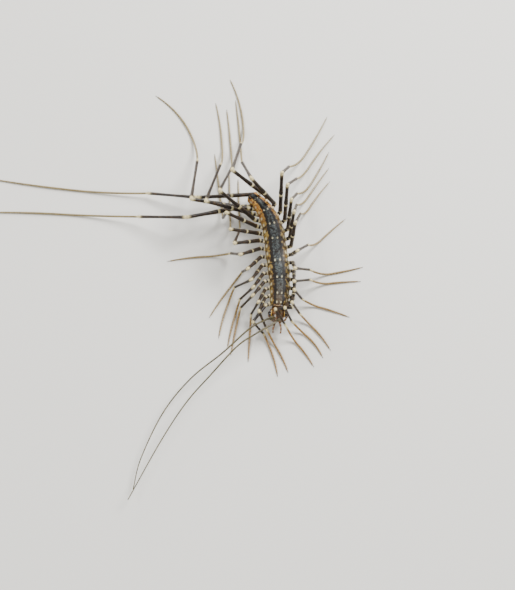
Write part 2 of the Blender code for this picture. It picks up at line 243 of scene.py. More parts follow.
def hip_along(n: float) -> float:
    """Where leg pair n leaves the body, along the midline."""
    return FIRST_HIP + HIP_PITCH * (n - 1)


def whole_along(s: float) -> float:
    """s as a share of the body's length."""
    return float(np.clip(s / TRUNK_END, 0.0, 1.0))


class Draft:
    """The points, faces, slots and marks of one piece, before it becomes an object."""

    def __init__(self) -> None:
        """Starts empty."""
        self.points: list[np.ndarray] = []
        self.faces: list[tuple[int, ...]] = []
        self.slots: list[int] = []
        self.marks: dict[Mark, list[np.ndarray]] = {mark: [] for mark in Mark}
        self.count = 0

    def add(self, points: np.ndarray, faces: Sequence[Sequence[int]], slot: int = SHELL,
            marks: Optional[dict[Mark, object]] = None) -> None:
        """Adds points and the faces between them.

        Args:
            points: one to a row, in the midline's numbers.
            faces: corners counted within these points.
            slot: which of the piece's materials they take.
            marks: a number, or one for each point, for some of the marks.
        """
        points = np.asarray(points, float).reshape(-1, 3)
        for face in faces:
            self.faces.append(tuple(int(i) + self.count for i in face))
            self.slots.append(slot)
        for mark in Mark:
            value = (marks or {}).get(mark, 0.0)
            spread = np.broadcast_to(np.asarray(value, float).ravel(), (len(points),))
            self.marks[mark].append(spread.copy())
        self.points.append(points)
        self.count += len(points)

    def sheet(self, grid: np.ndarray, marks: Optional[dict[Mark, object]] = None) -> None:
        """Adds a closed tube from rings of points.

        Args:
            grid: rings by points by three; each ring closes on itself.
            marks: as for add, flattened ring by ring.
        """
        rows, cols = grid.shape[:2]
        faces: list[list[int]] = []
        for r in range(rows - 1):
            for c in range(cols):
                n = (c + 1) % cols
                faces.append([r * cols + c, r * cols + n, (r + 1) * cols + n, (r + 1) * cols + c])
        faces.append(list(reversed(range(cols))))
        faces.append([(rows - 1) * cols + c for c in range(cols)])
        self.add(grid, faces, SHELL, marks)

    def bristle(self, root: np.ndarray, way: np.ndarray, length: float, radius: float,
                marks: Optional[dict[Mark, object]] = None) -> None:
        """Adds one tapering hair or spine.

        Args:
            root: where it stands.
            way: where it points.
            length: from root to tip.
            radius: at its root.
            marks: as for add.
        """
        way = unit(way)
        side = unit(np.cross(way, UP if abs(way[2]) < 0.9 else np.array([1.0, 0.0, 0.0])))
        other = np.cross(way, side)
        middle, tip = root + way * length * 0.5, root + way * length
        ring = [side, -0.5 * side + 0.87 * other, -0.5 * side - 0.87 * other]
        points = [root - way * radius + v * radius for v in ring]
        points += [middle + v * radius * 0.6 for v in ring] + [tip]
        faces = [(2, 1, 0)]
        for k in range(3):
            n = (k + 1) % 3
            faces += [(k, n, n + 3, k + 3), (k + 3, n + 3, 6)]
        self.add(np.array(points), faces, HAIR, marks)

    def build(self, name: str, materials: Sequence[bpy.types.Material], slot: str,
              nodes: Sequence[str], crease: float = 40.0) -> bpy.types.Object:
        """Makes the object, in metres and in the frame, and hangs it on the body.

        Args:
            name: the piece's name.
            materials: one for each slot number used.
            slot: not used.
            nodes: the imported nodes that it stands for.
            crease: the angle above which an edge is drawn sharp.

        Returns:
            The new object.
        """
        points = (np.concatenate(self.points) + CENTRING) * MM
        mesh = bpy.data.meshes.new(name)
        mesh.from_pydata(points.tolist(), [], self.faces)
        for one in materials:
            mesh.materials.append(one)
        mesh.polygons.foreach_set("material_index", self.slots)
        for mark in Mark:
            layer = mesh.attributes.new(mark.value, "FLOAT", "POINT")
            layer.data.foreach_set("value", np.concatenate(self.marks[mark]).astype(np.float32))
        mesh.update()
        mesh.shade_smooth()
        mesh.set_sharp_from_angle(angle=math.radians(crease))
        piece = bpy.data.objects.new(name, mesh)
        bpy.context.scene.collection.objects.link(piece)
        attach(piece, BODY)
        if nodes:
            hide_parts(*nodes)
        LOG.info("%s: %d points, %d faces", name, len(points), len(self.faces))
        return piece


def tube_grid(centres: np.ndarray, radii: np.ndarray, sides: int, squash: float = 1.0,
              ridge: float = 0.0) -> np.ndarray:
    """Rings round a path.

    Args:
        centres: the path, one point to a row.
        radii: one for each point.
        sides: points in a ring; the first lies to the side, a quarter turn before the top.
        squash: height over breadth.
        ridge: how far the long keels of a leg stand out, as a share of the radius.

    Returns:
        An array of rings by sides by three.
    """
    ways = np.gradient(centres, axis=0)
    turns = 2 * np.pi * np.arange(sides) / sides
    keel = 1.0 + ridge * np.cos(KEELS * (turns - np.pi / 2))
    rings = []
    side = None
    for centre, way, radius in zip(centres, ways, radii):
        way = unit(way)
        if side is None:
            side = np.cross(way, UP)
            if np.linalg.norm(side) < 0.1:
                side = np.cross(way, np.array([0.0, -1.0, 0.0]))
        side = unit(side - way * np.dot(side, way))
        top = np.cross(side, way)
        rings.append(centre + radius * keel[:, None] * (np.cos(turns)[:, None] * side
                                                        + squash * np.sin(turns)[:, None] * top))
    return np.array(rings)


def srgb(code: str) -> tuple[float, float, float, float]:
    """A colour's linear values.

    Args:
        code: its sRGB hex code.

    Returns:
        Red, green, blue and an alpha of one.
    """
    values = [int(code.lstrip("#")[k:k + 2], 16) / 255 for k in (0, 2, 4)]
    red, green, blue = [v / 12.92 if v <= 0.04045 else ((v + 0.055) / 1.055) ** 2.4 for v in values]
    return red, green, blue, 1.0


class Kind(Enum):
    """The shader nodes that the finishes are made of."""

    PLACE = "ShaderNodeTexCoord"
    VECTOR = "ShaderNodeVectorMath"
    MARK = "ShaderNodeAttribute"
    CLOUDS = "ShaderNodeTexNoise"
    CELLS = "ShaderNodeTexVoronoi"
    RANGE = "ShaderNodeMapRange"
    SUM = "ShaderNodeMath"
    MIX = "ShaderNodeMix"
    BUMP = "ShaderNodeBump"
    SHELL = "ShaderNodeBsdfPrincipled"
    OUTPUT = "ShaderNodeOutputMaterial"


# The output to read where it isn't the first: a mix's colour, a mark's number, a point's place
MAIN_OUTPUT = {Kind.MIX: 2, Kind.MARK: 2, Kind.PLACE: 3}
# A mix's inputs for its share and for the colours below and above
SHARE, BELOW, ABOVE = 0, 6, 7
Source = Union[bpy.types.Node, str, float, tuple]


def add_node(tree: bpy.types.NodeTree, kind: Kind, inputs: Optional[dict[object, Source]] = None,
             **settings: object) -> bpy.types.Node:
    """Adds a node.

    Args:
        tree: the material's nodes.
        kind: which node.
        inputs: for an input's name or number, a value, a hex code or the node that feeds it.
        settings: the node's own properties.

    Returns:
        The node.
    """
    made = tree.nodes.new(kind.value)
    for name, value in settings.items():
        setattr(made, name, value)
    for key, value in (inputs or {}).items():
        if isinstance(value, bpy.types.Node):
            output = value.outputs[MAIN_OUTPUT.get(Kind(value.bl_idname), 0)]
            tree.links.new(output, made.inputs[key])
        else:
            made.inputs[key].default_value = srgb(value) if isinstance(value, str) else value
    return made


@dataclass(frozen=True)
class Coat:
    """A coat of colour over what lies below it, as thick as its mask says."""

    colour: Source
    mask: bpy.types.Node
    low: float = 0.0  # where the mask starts to cover
    high: float = 0.0  # where it covers in full; not above low, the mask is the share itself
    most: float = 1.0
    smooth: bool = True


def lay(tree: bpy.types.NodeTree, ground: Source, coats: Sequence[Coat]) -> Source:
    """Lays coats of colour over a ground.

    Args:
        tree: the material's nodes.
        ground: the lowest colour.
        coats: what covers it, the lowest first.

    Returns:
        The finished colour.
    """
    for coat in coats:
        share = coat.mask
        if coat.high > coat.low:
            share = add_node(tree, Kind.RANGE, {
                "Value": share, "From Min": coat.low, "From Max": coat.high, "To Max": coat.most,
            }, interpolation_type="SMOOTHSTEP" if coat.smooth else "LINEAR")
        ground = add_node(tree, Kind.MIX, {SHARE: share, BELOW: ground, ABOVE: coat.colour},
                          data_type="RGBA")
    return ground


@dataclass(frozen=True)
class Cuticle:
    """Tanned chitin as the skin lays it down: a hard shell under a thin film of wax."""

    name: str
    base: str
    mottle: str
    pale: str = "#D8CBA2"
    dark: str = "#120C08"
    mottle_mm: float = 0.5
    mottle_from: float = 0.47
    mottle_to: float = 0.63
    grain_mm: float = 0.09  # real cells are near 0.02; drawn coarser so that they show
    grain_depth_mm: float = 0.008
    roughness: float = 0.36
    roughness_spread: float = 0.16
    wax_mottles: float = 1.7  # the wax film's patches, in mottles
    ior: float = 1.56  # chitin
    specular: float = 0.5
    soft_mm: float = 0.0  # how deep light runs in; 0 on hard shell
    soft_share: float = 0.25

    def ground(self, tree: bpy.types.NodeTree, place: bpy.types.Node) -> Source:
        """The colour below the cream and the dark: clouds of two tans.

        Args:
            tree: the material's nodes.
            place: the point's place in millimetres.

        Returns:
            The tans' colour.
        """
        clouds = add_node(tree, Kind.CLOUDS,
                          {"Vector": place, "Scale": 1 / self.mottle_mm, "Detail": 3.0})
        return lay(tree, self.base, [Coat(self.mottle, clouds, self.mottle_from, self.mottle_to)])

    def relief(self, tree: bpy.types.NodeTree, place: bpy.types.Node) -> bpy.types.Node:
        """Fine grain, left by the cells that laid the shell down.

        Args:
            tree: the material's nodes.
            place: the point's place in millimetres.

        Returns:
            The bumps.
        """
        grain = add_node(tree, Kind.CLOUDS, {"Vector": place, "Scale": 1 / self.grain_mm, "Detail": 4.0})
        return add_node(tree, Kind.BUMP, {"Height": grain, "Strength": 0.6,
                                          "Distance": self.grain_depth_mm * MM})

    def make(self) -> bpy.types.Material:
        """Builds the material.

        Returns:
            The new material.
        """
        made = bpy.data.materials.new(self.name)
        made.use_nodes = True
        tree = made.node_tree
        tree.nodes.clear()
        place = add_node(tree, Kind.VECTOR, {0: add_node(tree, Kind.PLACE), "Scale": 1 / MM},
                         operation="SCALE")
        wax_mm = self.mottle_mm * self.wax_mottles
        wax = add_node(tree, Kind.CLOUDS, {"Vector": place, "Scale": 1 / wax_mm, "Detail": 2.0})
        rough = add_node(tree, Kind.RANGE, {
            "Value": wax, "From Min": 0.3, "From Max": 0.7,
            "To Min": self.roughness - self.roughness_spread / 2,
            "To Max": self.roughness + self.roughness_spread / 2})
        pale, dark = (add_node(tree, Kind.MARK, attribute_name=mark.value)
                      for mark in (Mark.PALE, Mark.DARK))
        colour = lay(tree, self.ground(tree, place), [Coat(self.pale, pale), Coat(self.dark, dark)])
        shell = {"Base Color": colour, "Roughness": rough, "IOR": self.ior,
                 "Specular IOR Level": self.specular, "Normal": self.relief(tree, place)}
        if self.soft_mm:
            # Red light runs furthest in skin, and blue least
            shell |= {"Subsurface Weight": self.soft_share, "Subsurface Radius": (1.0, 0.5, 0.25),
                      "Subsurface Scale": self.soft_mm * MM}
        add_node(tree, Kind.OUTPUT, {"Surface": add_node(tree, Kind.SHELL, shell)})
        return made


@dataclass(frozen=True)
class BackPlateCuticle(Cuticle):
    """The back plates: slate in the middle, a dark stripe each side of it, and ochre flanks."""

    slate: str = "#23272A"
    slate_light: str = "#4B514F"
    stripe: str = "#150F0A"
    ochre: str = "#5C4423"
    amber: str = "#9C5F22"
    straw: str = "#BF9A4C"
    patch: str = "#8C7338"
    coarse_mottles: float = 2.6  # the coarse clouds' size, in mottles
    slate_end: float = 0.31
    stripe_end: float = 0.60
    fray: float = 0.34
    rear_narrowing: float = 0.16

    def ground(self, tree: bpy.types.NodeTree, place: bpy.types.Node) -> Source:
        """Three bands by the distance from the middle line, their edges broken up by clouds.

        Args:
            tree: the material's nodes.
            place: the point's place in millimetres.

        Returns:
            The bands' colour.
        """
        coarse_mm = self.mottle_mm * self.coarse_mottles
        clouds, coarse = (
            add_node(tree, Kind.CLOUDS, {"Vector": place, "Scale": 1 / size, "Detail": detail})
            for size, detail in ((self.mottle_mm, 3.0), (coarse_mm, 2.0)))
        along, across = (add_node(tree, Kind.MARK, attribute_name=mark.value)
                         for mark in (Mark.ALONG, Mark.ACROSS))
        rear = add_node(tree, Kind.RANGE, {"Value": along, "From Min": 0.68, "From Max": 0.88},
                        interpolation_type="SMOOTHSTEP")
        # The bands' edges wander with the coarse clouds, and draw in towards the tail
        frayed = add_node(tree, Kind.SUM, {0: coarse, 1: 0.5}, operation="SUBTRACT")
        frayed = add_node(tree, Kind.SUM, {0: frayed, 1: self.fray, 2: across}, operation="MULTIPLY_ADD")
        frayed = add_node(tree, Kind.SUM, {0: rear, 1: self.rear_narrowing, 2: frayed},
                          operation="MULTIPLY_ADD")
        slate = lay(tree, self.slate, [Coat(self.slate_light, clouds, 0.42, 0.60),
                                       Coat(self.stripe, coarse, 0.52, 0.62)])
        middle = lay(tree, self.ochre, [Coat(slate, along, -0.1, 0.32)])
        glow = lay(tree, self.amber, [Coat(self.straw, clouds, 0.46, 0.60),
                                      Coat(self.stripe, coarse, 0.56, 0.66)])
        flank = lay(tree, self.ochre, [Coat(self.stripe, clouds, 0.44, 0.66),
                                       Coat(self.patch, coarse, 0.50, 0.60), Coat(glow, rear)])
        return lay(tree, middle, [
            Coat(self.stripe, frayed, self.slate_end - 0.05, self.slate_end + 0.05),
            Coat(flank, frayed, self.stripe_end - 0.06, self.stripe_end + 0.06)])


@dataclass(frozen=True)
class LegCuticle(Cuticle):
    """A leg: near-black on the long joints, cream at knee and ankle, straw on the ringed foot."""

    mottle_from: float = 0.48
    mottle_to: float = 0.66
    foot_front: str = "#93703A"
    foot_rear: str = "#93835A"
    foot_joint: str = "#2E2013"

    def ground(self, tree: bpy.types.NodeTree, place: bpy.types.Node) -> Source:
        """The long joints' tan, and the foot's straw with its dark joints.

        Args:
            tree: the material's nodes.
            place: the point's place in millimetres.

        Returns:
            The leg's colour.
        """
        clouds = add_node(tree, Kind.CLOUDS,
                          {"Vector": place, "Scale": 1 / self.mottle_mm, "Detail": 3.0})
        along, ring, foot = (add_node(tree, Kind.MARK, attribute_name=mark.value)
                             for mark in (Mark.ALONG, Mark.RING, Mark.FOOT))
        straw = lay(tree, self.foot_front, [
            Coat(self.foot_rear, along, 0.1, 0.75),
            Coat(self.foot_joint, clouds, self.mottle_from, self.mottle_to, most=0.35),
            Coat(self.foot_joint, ring, 0.0, 1.0, most=0.75, smooth=False)])
        return lay(tree, self.base, [Coat(self.mottle, clouds, self.mottle_from, self.mottle_to),
                                     Coat(straw, foot)])


@dataclass(frozen=True)
class FeelerCuticle(Cuticle):
    """A feeler: olive rings with a darker joint between each two."""

    mottle_from: float = 0.4
    mottle_to: float = 0.65

    def ground(self, tree: bpy.types.NodeTree, place: bpy.types.Node) -> Source:
        """Olive clouds and dark joints.

        Args:
            tree: the material's nodes.
            place: the point's place in millimetres.

        Returns:
            The rings' colour.
        """
        ring = add_node(tree, Kind.MARK, attribute_name=Mark.RING.value)
        return lay(tree, super().ground(tree, place),
                   [Coat(self.dark, ring, 0.0, 1.0, most=0.6, smooth=False)])


@dataclass(frozen=True)
class EyeCuticle(Cuticle):
    """A compound eye: clear lenses over black, packed like cells of a comb."""

    lens_mm: float = 0.085  # real ones are near 0.05; drawn coarser so that they show
    lens_depth_mm: float = 0.012

    def relief(self, tree: bpy.types.NodeTree, place: bpy.types.Node) -> bpy.types.Node:
        """A dome on each lens.

        Args:
            tree: the material's nodes.
            place: the point's place in millimetres.

        Returns:
            The bumps.
        """
        cells = add_node(tree, Kind.CELLS, {"Vector": place, "Scale": 1 / self.lens_mm})
        return add_node(tree, Kind.BUMP, {"Height": cells, "Strength": 0.4,
                                          "Distance": self.lens_depth_mm * MM}, invert=True)


class Finishes:
    """Every finish of the animal, made once."""

    def __init__(self) -> None:
        """Makes the materials."""
        # Thick chitin under dull wax: a satin back with a broad soft shine and slate clouds
        self.plate = BackPlateCuticle("waxed back plate chitin", "#272D2F", "#5E696B", mottle_mm=0.34,
                                      roughness=0.50, specular=0.25, pale="#D9CFA8").make()
        # Thin tubes tanned nearly black: a narrow streak of light down each, cream where skin shows
        self.leg = LegCuticle("tanned leg chitin", "#1C130C", "#3D2C18", mottle_mm=0.7, roughness=0.42,
                              specular=0.35, pale="#D6C795").make()
        # Chunky hips tanned in patches: warm brown, cream at the far end and a painted highlight in
        # cream on top, a little glossier than the back
        self.coxa = Cuticle("tanned hip chitin", "#6B4120", "#2A1A0E", mottle_mm=0.45, roughness=0.40,
                            pale="#E0D2A4").make()
        # Skin that stays soft and folds: dull, with light running a little way in
        self.flank = Cuticle("soft folded flank skin", "#3A2A1C", "#7C6340", mottle_mm=0.5,
                             roughness=0.55, soft_mm=0.3, ior=1.45).make()
        # Thin untanned plates: pale straw, faintly see-through at the edges
        self.belly = Cuticle("pale belly plate chitin", "#8D7448", "#5C4527", mottle_mm=0.8,
                             roughness=0.42, soft_mm=0.2).make()
        # The hardest and smoothest shell: small bright highlights over chestnut clouds
        self.head = Cuticle("polished head chitin", "#4A2F18", "#8A5A28", mottle_mm=0.55, roughness=0.30,
                            mottle_from=0.485, mottle_to=0.645).make()
        # Clear lenses over black: a wet sparkle broken up by the facets
        self.eye = EyeCuticle("compound eye lens", "#0D0A08", "#241910", mottle_mm=0.4, roughness=0.22,
                              roughness_spread=0.05).make()
        # A thin untanned ring: a matt yellow line that sets off the eye
        self.rim = Cuticle("yellow eye rim chitin", "#C79A38", "#8C6422", mottle_mm=0.3,
                           roughness=0.4).make()
        # Hundreds of short rings: olive, dulled by the dark joints between them
        self.feeler = FeelerCuticle("ringed feeler chitin", "#453E22", "#625732", mottle_mm=0.9,
                                    roughness=0.45, dark="#2C2412").make()
        # Claws hardened all through: the glossiest piece, brown that blackens to its tip
        self.claw = Cuticle("black poison claw chitin", "#5A3318", "#8C5A2A", mottle_mm=0.6,
                            roughness=0.2, roughness_spread=0.08).make()
        # Hollow hairs of clear chitin: an amber glint along each
        self.hair = Cuticle("amber hair chitin", "#4B351C", "#80612F", mottle_mm=0.8,
                            roughness=0.35).make()


def coxa_fan(n: float) -> float:
    """How far a coxa points towards the tail off straight out."""
    return FIRST_FAN + (LAST_FAN - FIRST_FAN) * (n - 1) / (LEG_PAIRS - 1)


@dataclass(frozen=True)
class LegPath:
    """Where one leg runs: its joints, worked out from its stance as the solids have them."""

    n: int
    side: Side
    coxa_radius: float = 0.58
    coxa_reach: float = 1.1
    gap: float = 0.34
    root_inset: float = 0.35
    hip_z: float = 3.9
    last_hip_drop: float = 0.7
    coxa_rise: float = 10.0  # the last pair's is as far below level
    trochanter: float = 0.85
    # For each long part: the first leg's length, what the fourteenth's is longer by, the fifteenth's
    # length, and the power that the growth between them follows
    thigh: tuple = (5.8, 9.8, 16.2, 1.6)
    shin: tuple = (4.9, 12.6, 14.0, 1.4)
    foot_sizes: tuple = (11.5, 16.5, 50.0, 2.0)
    foot_settle: float = 0.42  # the share of the foot that comes down from the ankle
    foot_radius: float = 0.28
    foot_tip_radius: float = 0.13
    foot_thins_from: float = 0.55
    flat: float = 0.866  # a six-sided solid lies this much lower than its radius

    @property
    def stance(self) -> Stance:
        """How this leg is held."""
        return STANCES[self.side][self.n - 1]

    def grown(self, first: float, growth: float, last: float, power: float) -> float:
        """A length that grows to the fourteenth leg; the fifteenth has its own."""
        share = (self.n - 1) / (LEG_PAIRS - 2)
        return last if self.n == LEG_PAIRS else first + growth * share ** power

    @property
    def foot_length(self) -> float:
        """From the ankle to the tip."""
        return self.grown(*self.foot_sizes)

    @property
    def axis(self) -> np.ndarray:
        """The way the coxa points.

        Returns:
            A unit vector.
        """
        _, tail = SPINE.at(hip_along(self.n))
        sign = self.side.value
        out = math.degrees(math.atan2(-tail[0] * sign, tail[1] * sign))
        rise = -self.coxa_rise if self.n == LEG_PAIRS else self.coxa_rise
        return heading(out + coxa_fan(self.n) * sign, rise)

    @property
    def hip(self) -> np.ndarray:
        """The middle of the coxa's root, just inside the flank.

        Returns:
            The place.
        """
        s = hip_along(self.n)
        aside = (FLANK_HALF_WIDTH - self.root_inset) * body_scale(s) * self.side.value
        return SPINE.place(s, aside, self.hip_z - (self.last_hip_drop if self.n == LEG_PAIRS else 0.0))

    def joints(self) -> dict[str, np.ndarray]:
        """The coxa's end, the thigh's start, the knee and the ankle.

        Returns:
            The four places by name.
        """
        held = self.stance
        thigh, shin = self.grown(*self.thigh), self.grown(*self.shin)
        end = self.hip + self.axis * (self.coxa_reach + self.gap)
        start = end + self.axis * self.trochanter
        knee = start + heading(held.femur, held.rise) * thigh
        drop = knee[2] - held.ankle_z
        reach = math.sqrt(shin**2 - drop**2)
        ankle = knee + heading(held.tibia) * reach - UP * drop
        return {"end": end, "start": start, "knee": knee, "ankle": ankle}

    def foot(self, ankle: np.ndarray, rows: int) -> tuple[np.ndarray, np.ndarray]:
        """The foot's middle line and radii: down to the floor, then along it with a gentle curl.

        Args:
            ankle: where the foot starts.
            rows: how many points it has.

        Returns:
            The points, one to a row, and their radii.
        """
        held, length = self.stance, self.foot_length
        shares = np.linspace(0.0, 1.0, rows)
        thin = np.clip((shares - self.foot_thins_from) / (1 - self.foot_thins_from), 0.0, 1.0)
        radii = self.foot_radius + (self.foot_tip_radius - self.foot_radius) * thin
        turns = np.radians(held.foot + held.curl * shares)
        steps = np.stack([np.cos(turns), np.sin(turns)], 1) * length / (rows - 1)
        moved = np.cumsum((steps[:-1] + steps[1:]) / 2, axis=0)
        plan = ankle[:2] + np.concatenate([[[0.0, 0.0]], moved])
        rest = self.foot_radius * self.flat
        fall = np.clip(1 - shares / self.foot_settle, 0.0, 1.0) ** 2
        z = np.where(shares < self.foot_settle, rest + (ankle[2] - rest) * fall, radii)
        return np.column_stack([plan, np.maximum(z, radii)]), radii


@dataclass(frozen=True)
class Leg:
    """One leg beyond its coxa: trochanter, prefemur, femur, tibia and the long ringed foot."""

    path: LegPath
    thigh_radius: float = 0.5
    thigh_growth: float = 0.16
    shin_radius: float = 0.36
    shin_growth: float = 0.1
    sides: int = 10
    keel: float = 0.07
    ring_mm: float = 0.75  # real ones are near 0.4; drawn coarser so that they show
    foot_sides: int = 8
    row_mm: float = 0.45
    fewest_rows: int = 14
    collar: float = 0.10  # how far the skin swells before a joint's far end
    root_swell: float = 0.06
    collar_at: float = 0.955
    root_swell_at: float = 0.06
    blunt: float = 0.62  # a joint's radius at its very ends
    blunt_share: float = 0.03
    keel_spine_gap: float = 0.55
    keel_spine_mm: tuple = (0.18, 0.3)  # shortest and longest
    keel_spine_radius: float = 0.03
    end_spine_mm: tuple = (0.55, 0.8)
    end_spine_radius: float = 0.06
    split: float = 0.46  # where the prefemur ends, as a share of the thigh
    ring_profile: tuple = (0.86, 0.97, 1.0, 1.03)  # a foot ring's thickness, row by row
    foot_hair_mm: tuple = (0.18, 0.28)
    foot_hair_radius: float = 0.022

    def joint_tube(self, draft: Draft, a: np.ndarray, b: np.ndarray, near: float, far: float,
                   waist: float, pale_near: float, pale_far: float, rng: np.random.Generator) -> None:
        """Adds one long joint of the leg, with the little spines on its keels.

        Args:
            draft: the piece.
            a: the end nearer the body.
            b: the far end.
            near: radius at a.
            far: radius at b.
            waist: the slimmest stretch's radius over the ends'.
            pale_near: millimetres of cream at a.
            pale_far: millimetres of cream at b.
            rng: for the spines' small differences.
        """
        length = float(np.linalg.norm(b - a))
        rows = max(self.fewest_rows, int(length / self.row_mm))
        t = np.linspace(0.0, 1.0, rows)
        # Extra rows at both ends, where the radius changes fastest
        t = np.concatenate([[0.0, 0.012, 0.03], t[1:-1] * 0.93 + 0.035, [0.97, 0.988, 1.0]])
        radii = (near + (far - near) * t) * (1 - (1 - waist) * np.sin(np.pi * np.clip(t, 0, 1)) ** 2)
        radii = radii * (1 + self.collar * bump(t, self.collar_at, 0.03)
                         + self.root_swell * bump(t, self.root_swell_at, 0.05))
        inside = np.clip(np.minimum(t, 1 - t) / self.blunt_share, 0.0, 1.0)
        ends = self.blunt + (1 - self.blunt) * np.sqrt(inside)
        centres = a + (b - a) * t[:, None]
        grid = tube_grid(centres, radii * ends, self.sides, ridge=self.keel)
        along = t * length
        pale = 0 * t
        for reach, distance in ((pale_near, along), (pale_far, length - along)):
            if reach:
                pale = np.maximum(pale, np.clip(1.6 - distance / reach, 0, 1))
        marks = {Mark.PALE: np.repeat(pale, self.sides), Mark.ALONG: whole_along(hip_along(self.path.n))}
        draft.sheet(grid, marks)
        self.spines(draft, centres, radii, b - a, length, rng)

    def spines(self, draft: Draft, centres: np.ndarray, radii: np.ndarray, way: np.ndarray,
               length: float, rng: np.random.Generator) -> None:
        """Adds a row of little spines along each keel, and three strong ones at the far end.

        Args:
            draft: the piece.
            centres: the joint's middle line.
            radii: one for each point of it.
            way: from its root to its end.
            length: how long it is.
            rng: for the spines' small differences.
        """
        way = unit(way)
        side = np.cross(way, UP)
        if np.linalg.norm(side) < 0.1:
            side = np.cross(way, np.array([0.0, -1.0, 0.0]))
        side = unit(side)
        top = np.cross(side, way)
        for k in range(KEELS):
            turn = math.pi / 2 + 2 * math.pi * k / KEELS
            out = math.cos(turn) * side + math.sin(turn) * top
            for step in np.arange(0.7, length - 0.4, self.keel_spine_gap):
                t = (step + rng.uniform(-0.1, 0.1)) / length
                radius = float(np.interp(t, np.linspace(0, 1, len(radii)), radii))
                root = centres[0] + (centres[-1] - centres[0]) * t + out * radius
                draft.bristle(root, out * 0.75 + way, rng.uniform(*self.keel_spine_mm),
                              self.keel_spine_radius)
            if k % 2 == 0:
                root = centres[-1] - way * 0.25 + out * radii[-1] * 0.85
                draft.bristle(root, out * 0.55 + way, rng.uniform(*self.end_spine_mm),
                              self.end_spine_radius)

    def ball(self, draft: Draft, centre: np.ndarray, way: np.ndarray, radius: float,
             pale: float) -> None:
        """Adds the round skin of a joint.

        Args:
            draft: the piece.
            centre: its middle.
            way: where the part beyond it goes.
            radius: its size.
            pale: how cream it is.
        """
        angles = np.linspace(-0.5 * np.pi, 0.5 * np.pi, 9)
        centres = centre + unit(way) * (radius * np.sin(angles))[:, None]
        radii = np.maximum(radius * np.cos(angles), radius * 0.06)
        grid = tube_grid(centres, radii, self.sides)
        draft.sheet(grid, {Mark.PALE: pale, Mark.ALONG: whole_along(hip_along(self.path.n))})

    def ringed_foot(self, draft: Draft, ankle: np.ndarray, rng: np.random.Generator) -> None:
        """Adds the foot: dozens of short rings, each a little wider at its far end, with hairs below.

        Args:
            draft: the piece.
            ankle: where it starts.
            rng: for the hairs' small differences.
        """
        length = self.path.foot_length
        rings, step = int(length / self.ring_mm), len(self.ring_profile)
        rows = rings * step + 1
        centres, radii = self.path.foot(ankle, rows)
        phase = np.arange(rows) % step
        shape = np.array(self.ring_profile)[phase]
        share = np.linspace(0, 1, rows)
        end = np.minimum(1.0, (1 - share) * rows / 5 + 0.15)
        grid = tube_grid(centres, radii * shape * end, self.foot_sides)
        dark = np.where(phase == 0, 1.0, 0.0)
        pale = np.clip(1.3 - share * length / 0.7, 0.0, 1.0)
        draft.sheet(grid, {Mark.RING: np.repeat(dark, self.foot_sides),
                           Mark.PALE: np.repeat(pale, self.foot_sides), Mark.FOOT: 1.0,
                           Mark.ALONG: whole_along(hip_along(self.path.n))})
        for k in range(step, rows - step, step):
            way = unit(centres[k + 1] - centres[k - 1])
            side = unit(np.cross(way, UP))
            for sign in (1, -1):
                draft.bristle(centres[k] + side * sign * radii[k] * 0.9,
                              side * sign * 0.5 + way * 0.9 - UP * 0.1,
                              rng.uniform(*self.foot_hair_mm), self.foot_hair_radius)
        draft.bristle(centres[-1], centres[-1] - centres[-3], 0.35, float(radii[-1]) * 0.7,
                      {Mark.DARK: 0.8})

    def build(self, finishes: Finishes) -> bpy.types.Object:
        """Makes the leg.

        Args:
            finishes: the animal's materials.

        Returns:
            The new object.
        """
        draft = Draft()
        n, side = self.path.n, self.path.side
        rng = np.random.default_rng(100 * n + side.value + 1)
        joints = self.path.joints()
        grown = (n - 1) / (LEG_PAIRS - 1)
        thigh = self.thigh_radius + self.thigh_growth * grown
        shin = self.shin_radius + self.shin_growth * grown
        start, knee, ankle = (joints[k] for k in ("start", "knee", "ankle"))
        tuck = self.path.axis * 0.1  # how far the trochanter runs into its neighbours
        split = start + (knee - start) * self.split
        self.ball(draft, joints["end"] - tuck, self.path.axis, thigh * 0.72, 0.55)
        self.joint_tube(draft, joints["end"] - tuck, start + tuck, thigh * 0.8, thigh * 0.92,
                        1.0, 0.0, 0.35, rng)
        self.ball(draft, start, knee - start, thigh * 0.84, 0.8)
        self.joint_tube(draft, start, split, thigh * 0.92, thigh * 0.86, 0.93, 0.3, 0.25, rng)
        self.joint_tube(draft, split, knee, thigh * 0.9, thigh * 0.74, 0.86, 0.0, 0.2 + 0.4 * grown, rng)
        self.ball(draft, knee, ankle - knee, shin * 0.93, 0.9)
        self.joint_tube(draft, knee, ankle, shin * 1.02, shin * 0.84, 0.84, 0.2 + 0.5 * grown,
                        0.3 + 0.35 * grown, rng)
        self.ball(draft, ankle, ankle - knee, shin * 0.74, 1.0)
        self.ringed_foot(draft, ankle, rng)
        return draft.build(f"{side.word}_leg_{n:02d}", [finishes.leg, finishes.hair], "leg",
                           [f"leg_{side.word}_{n:02d}"])


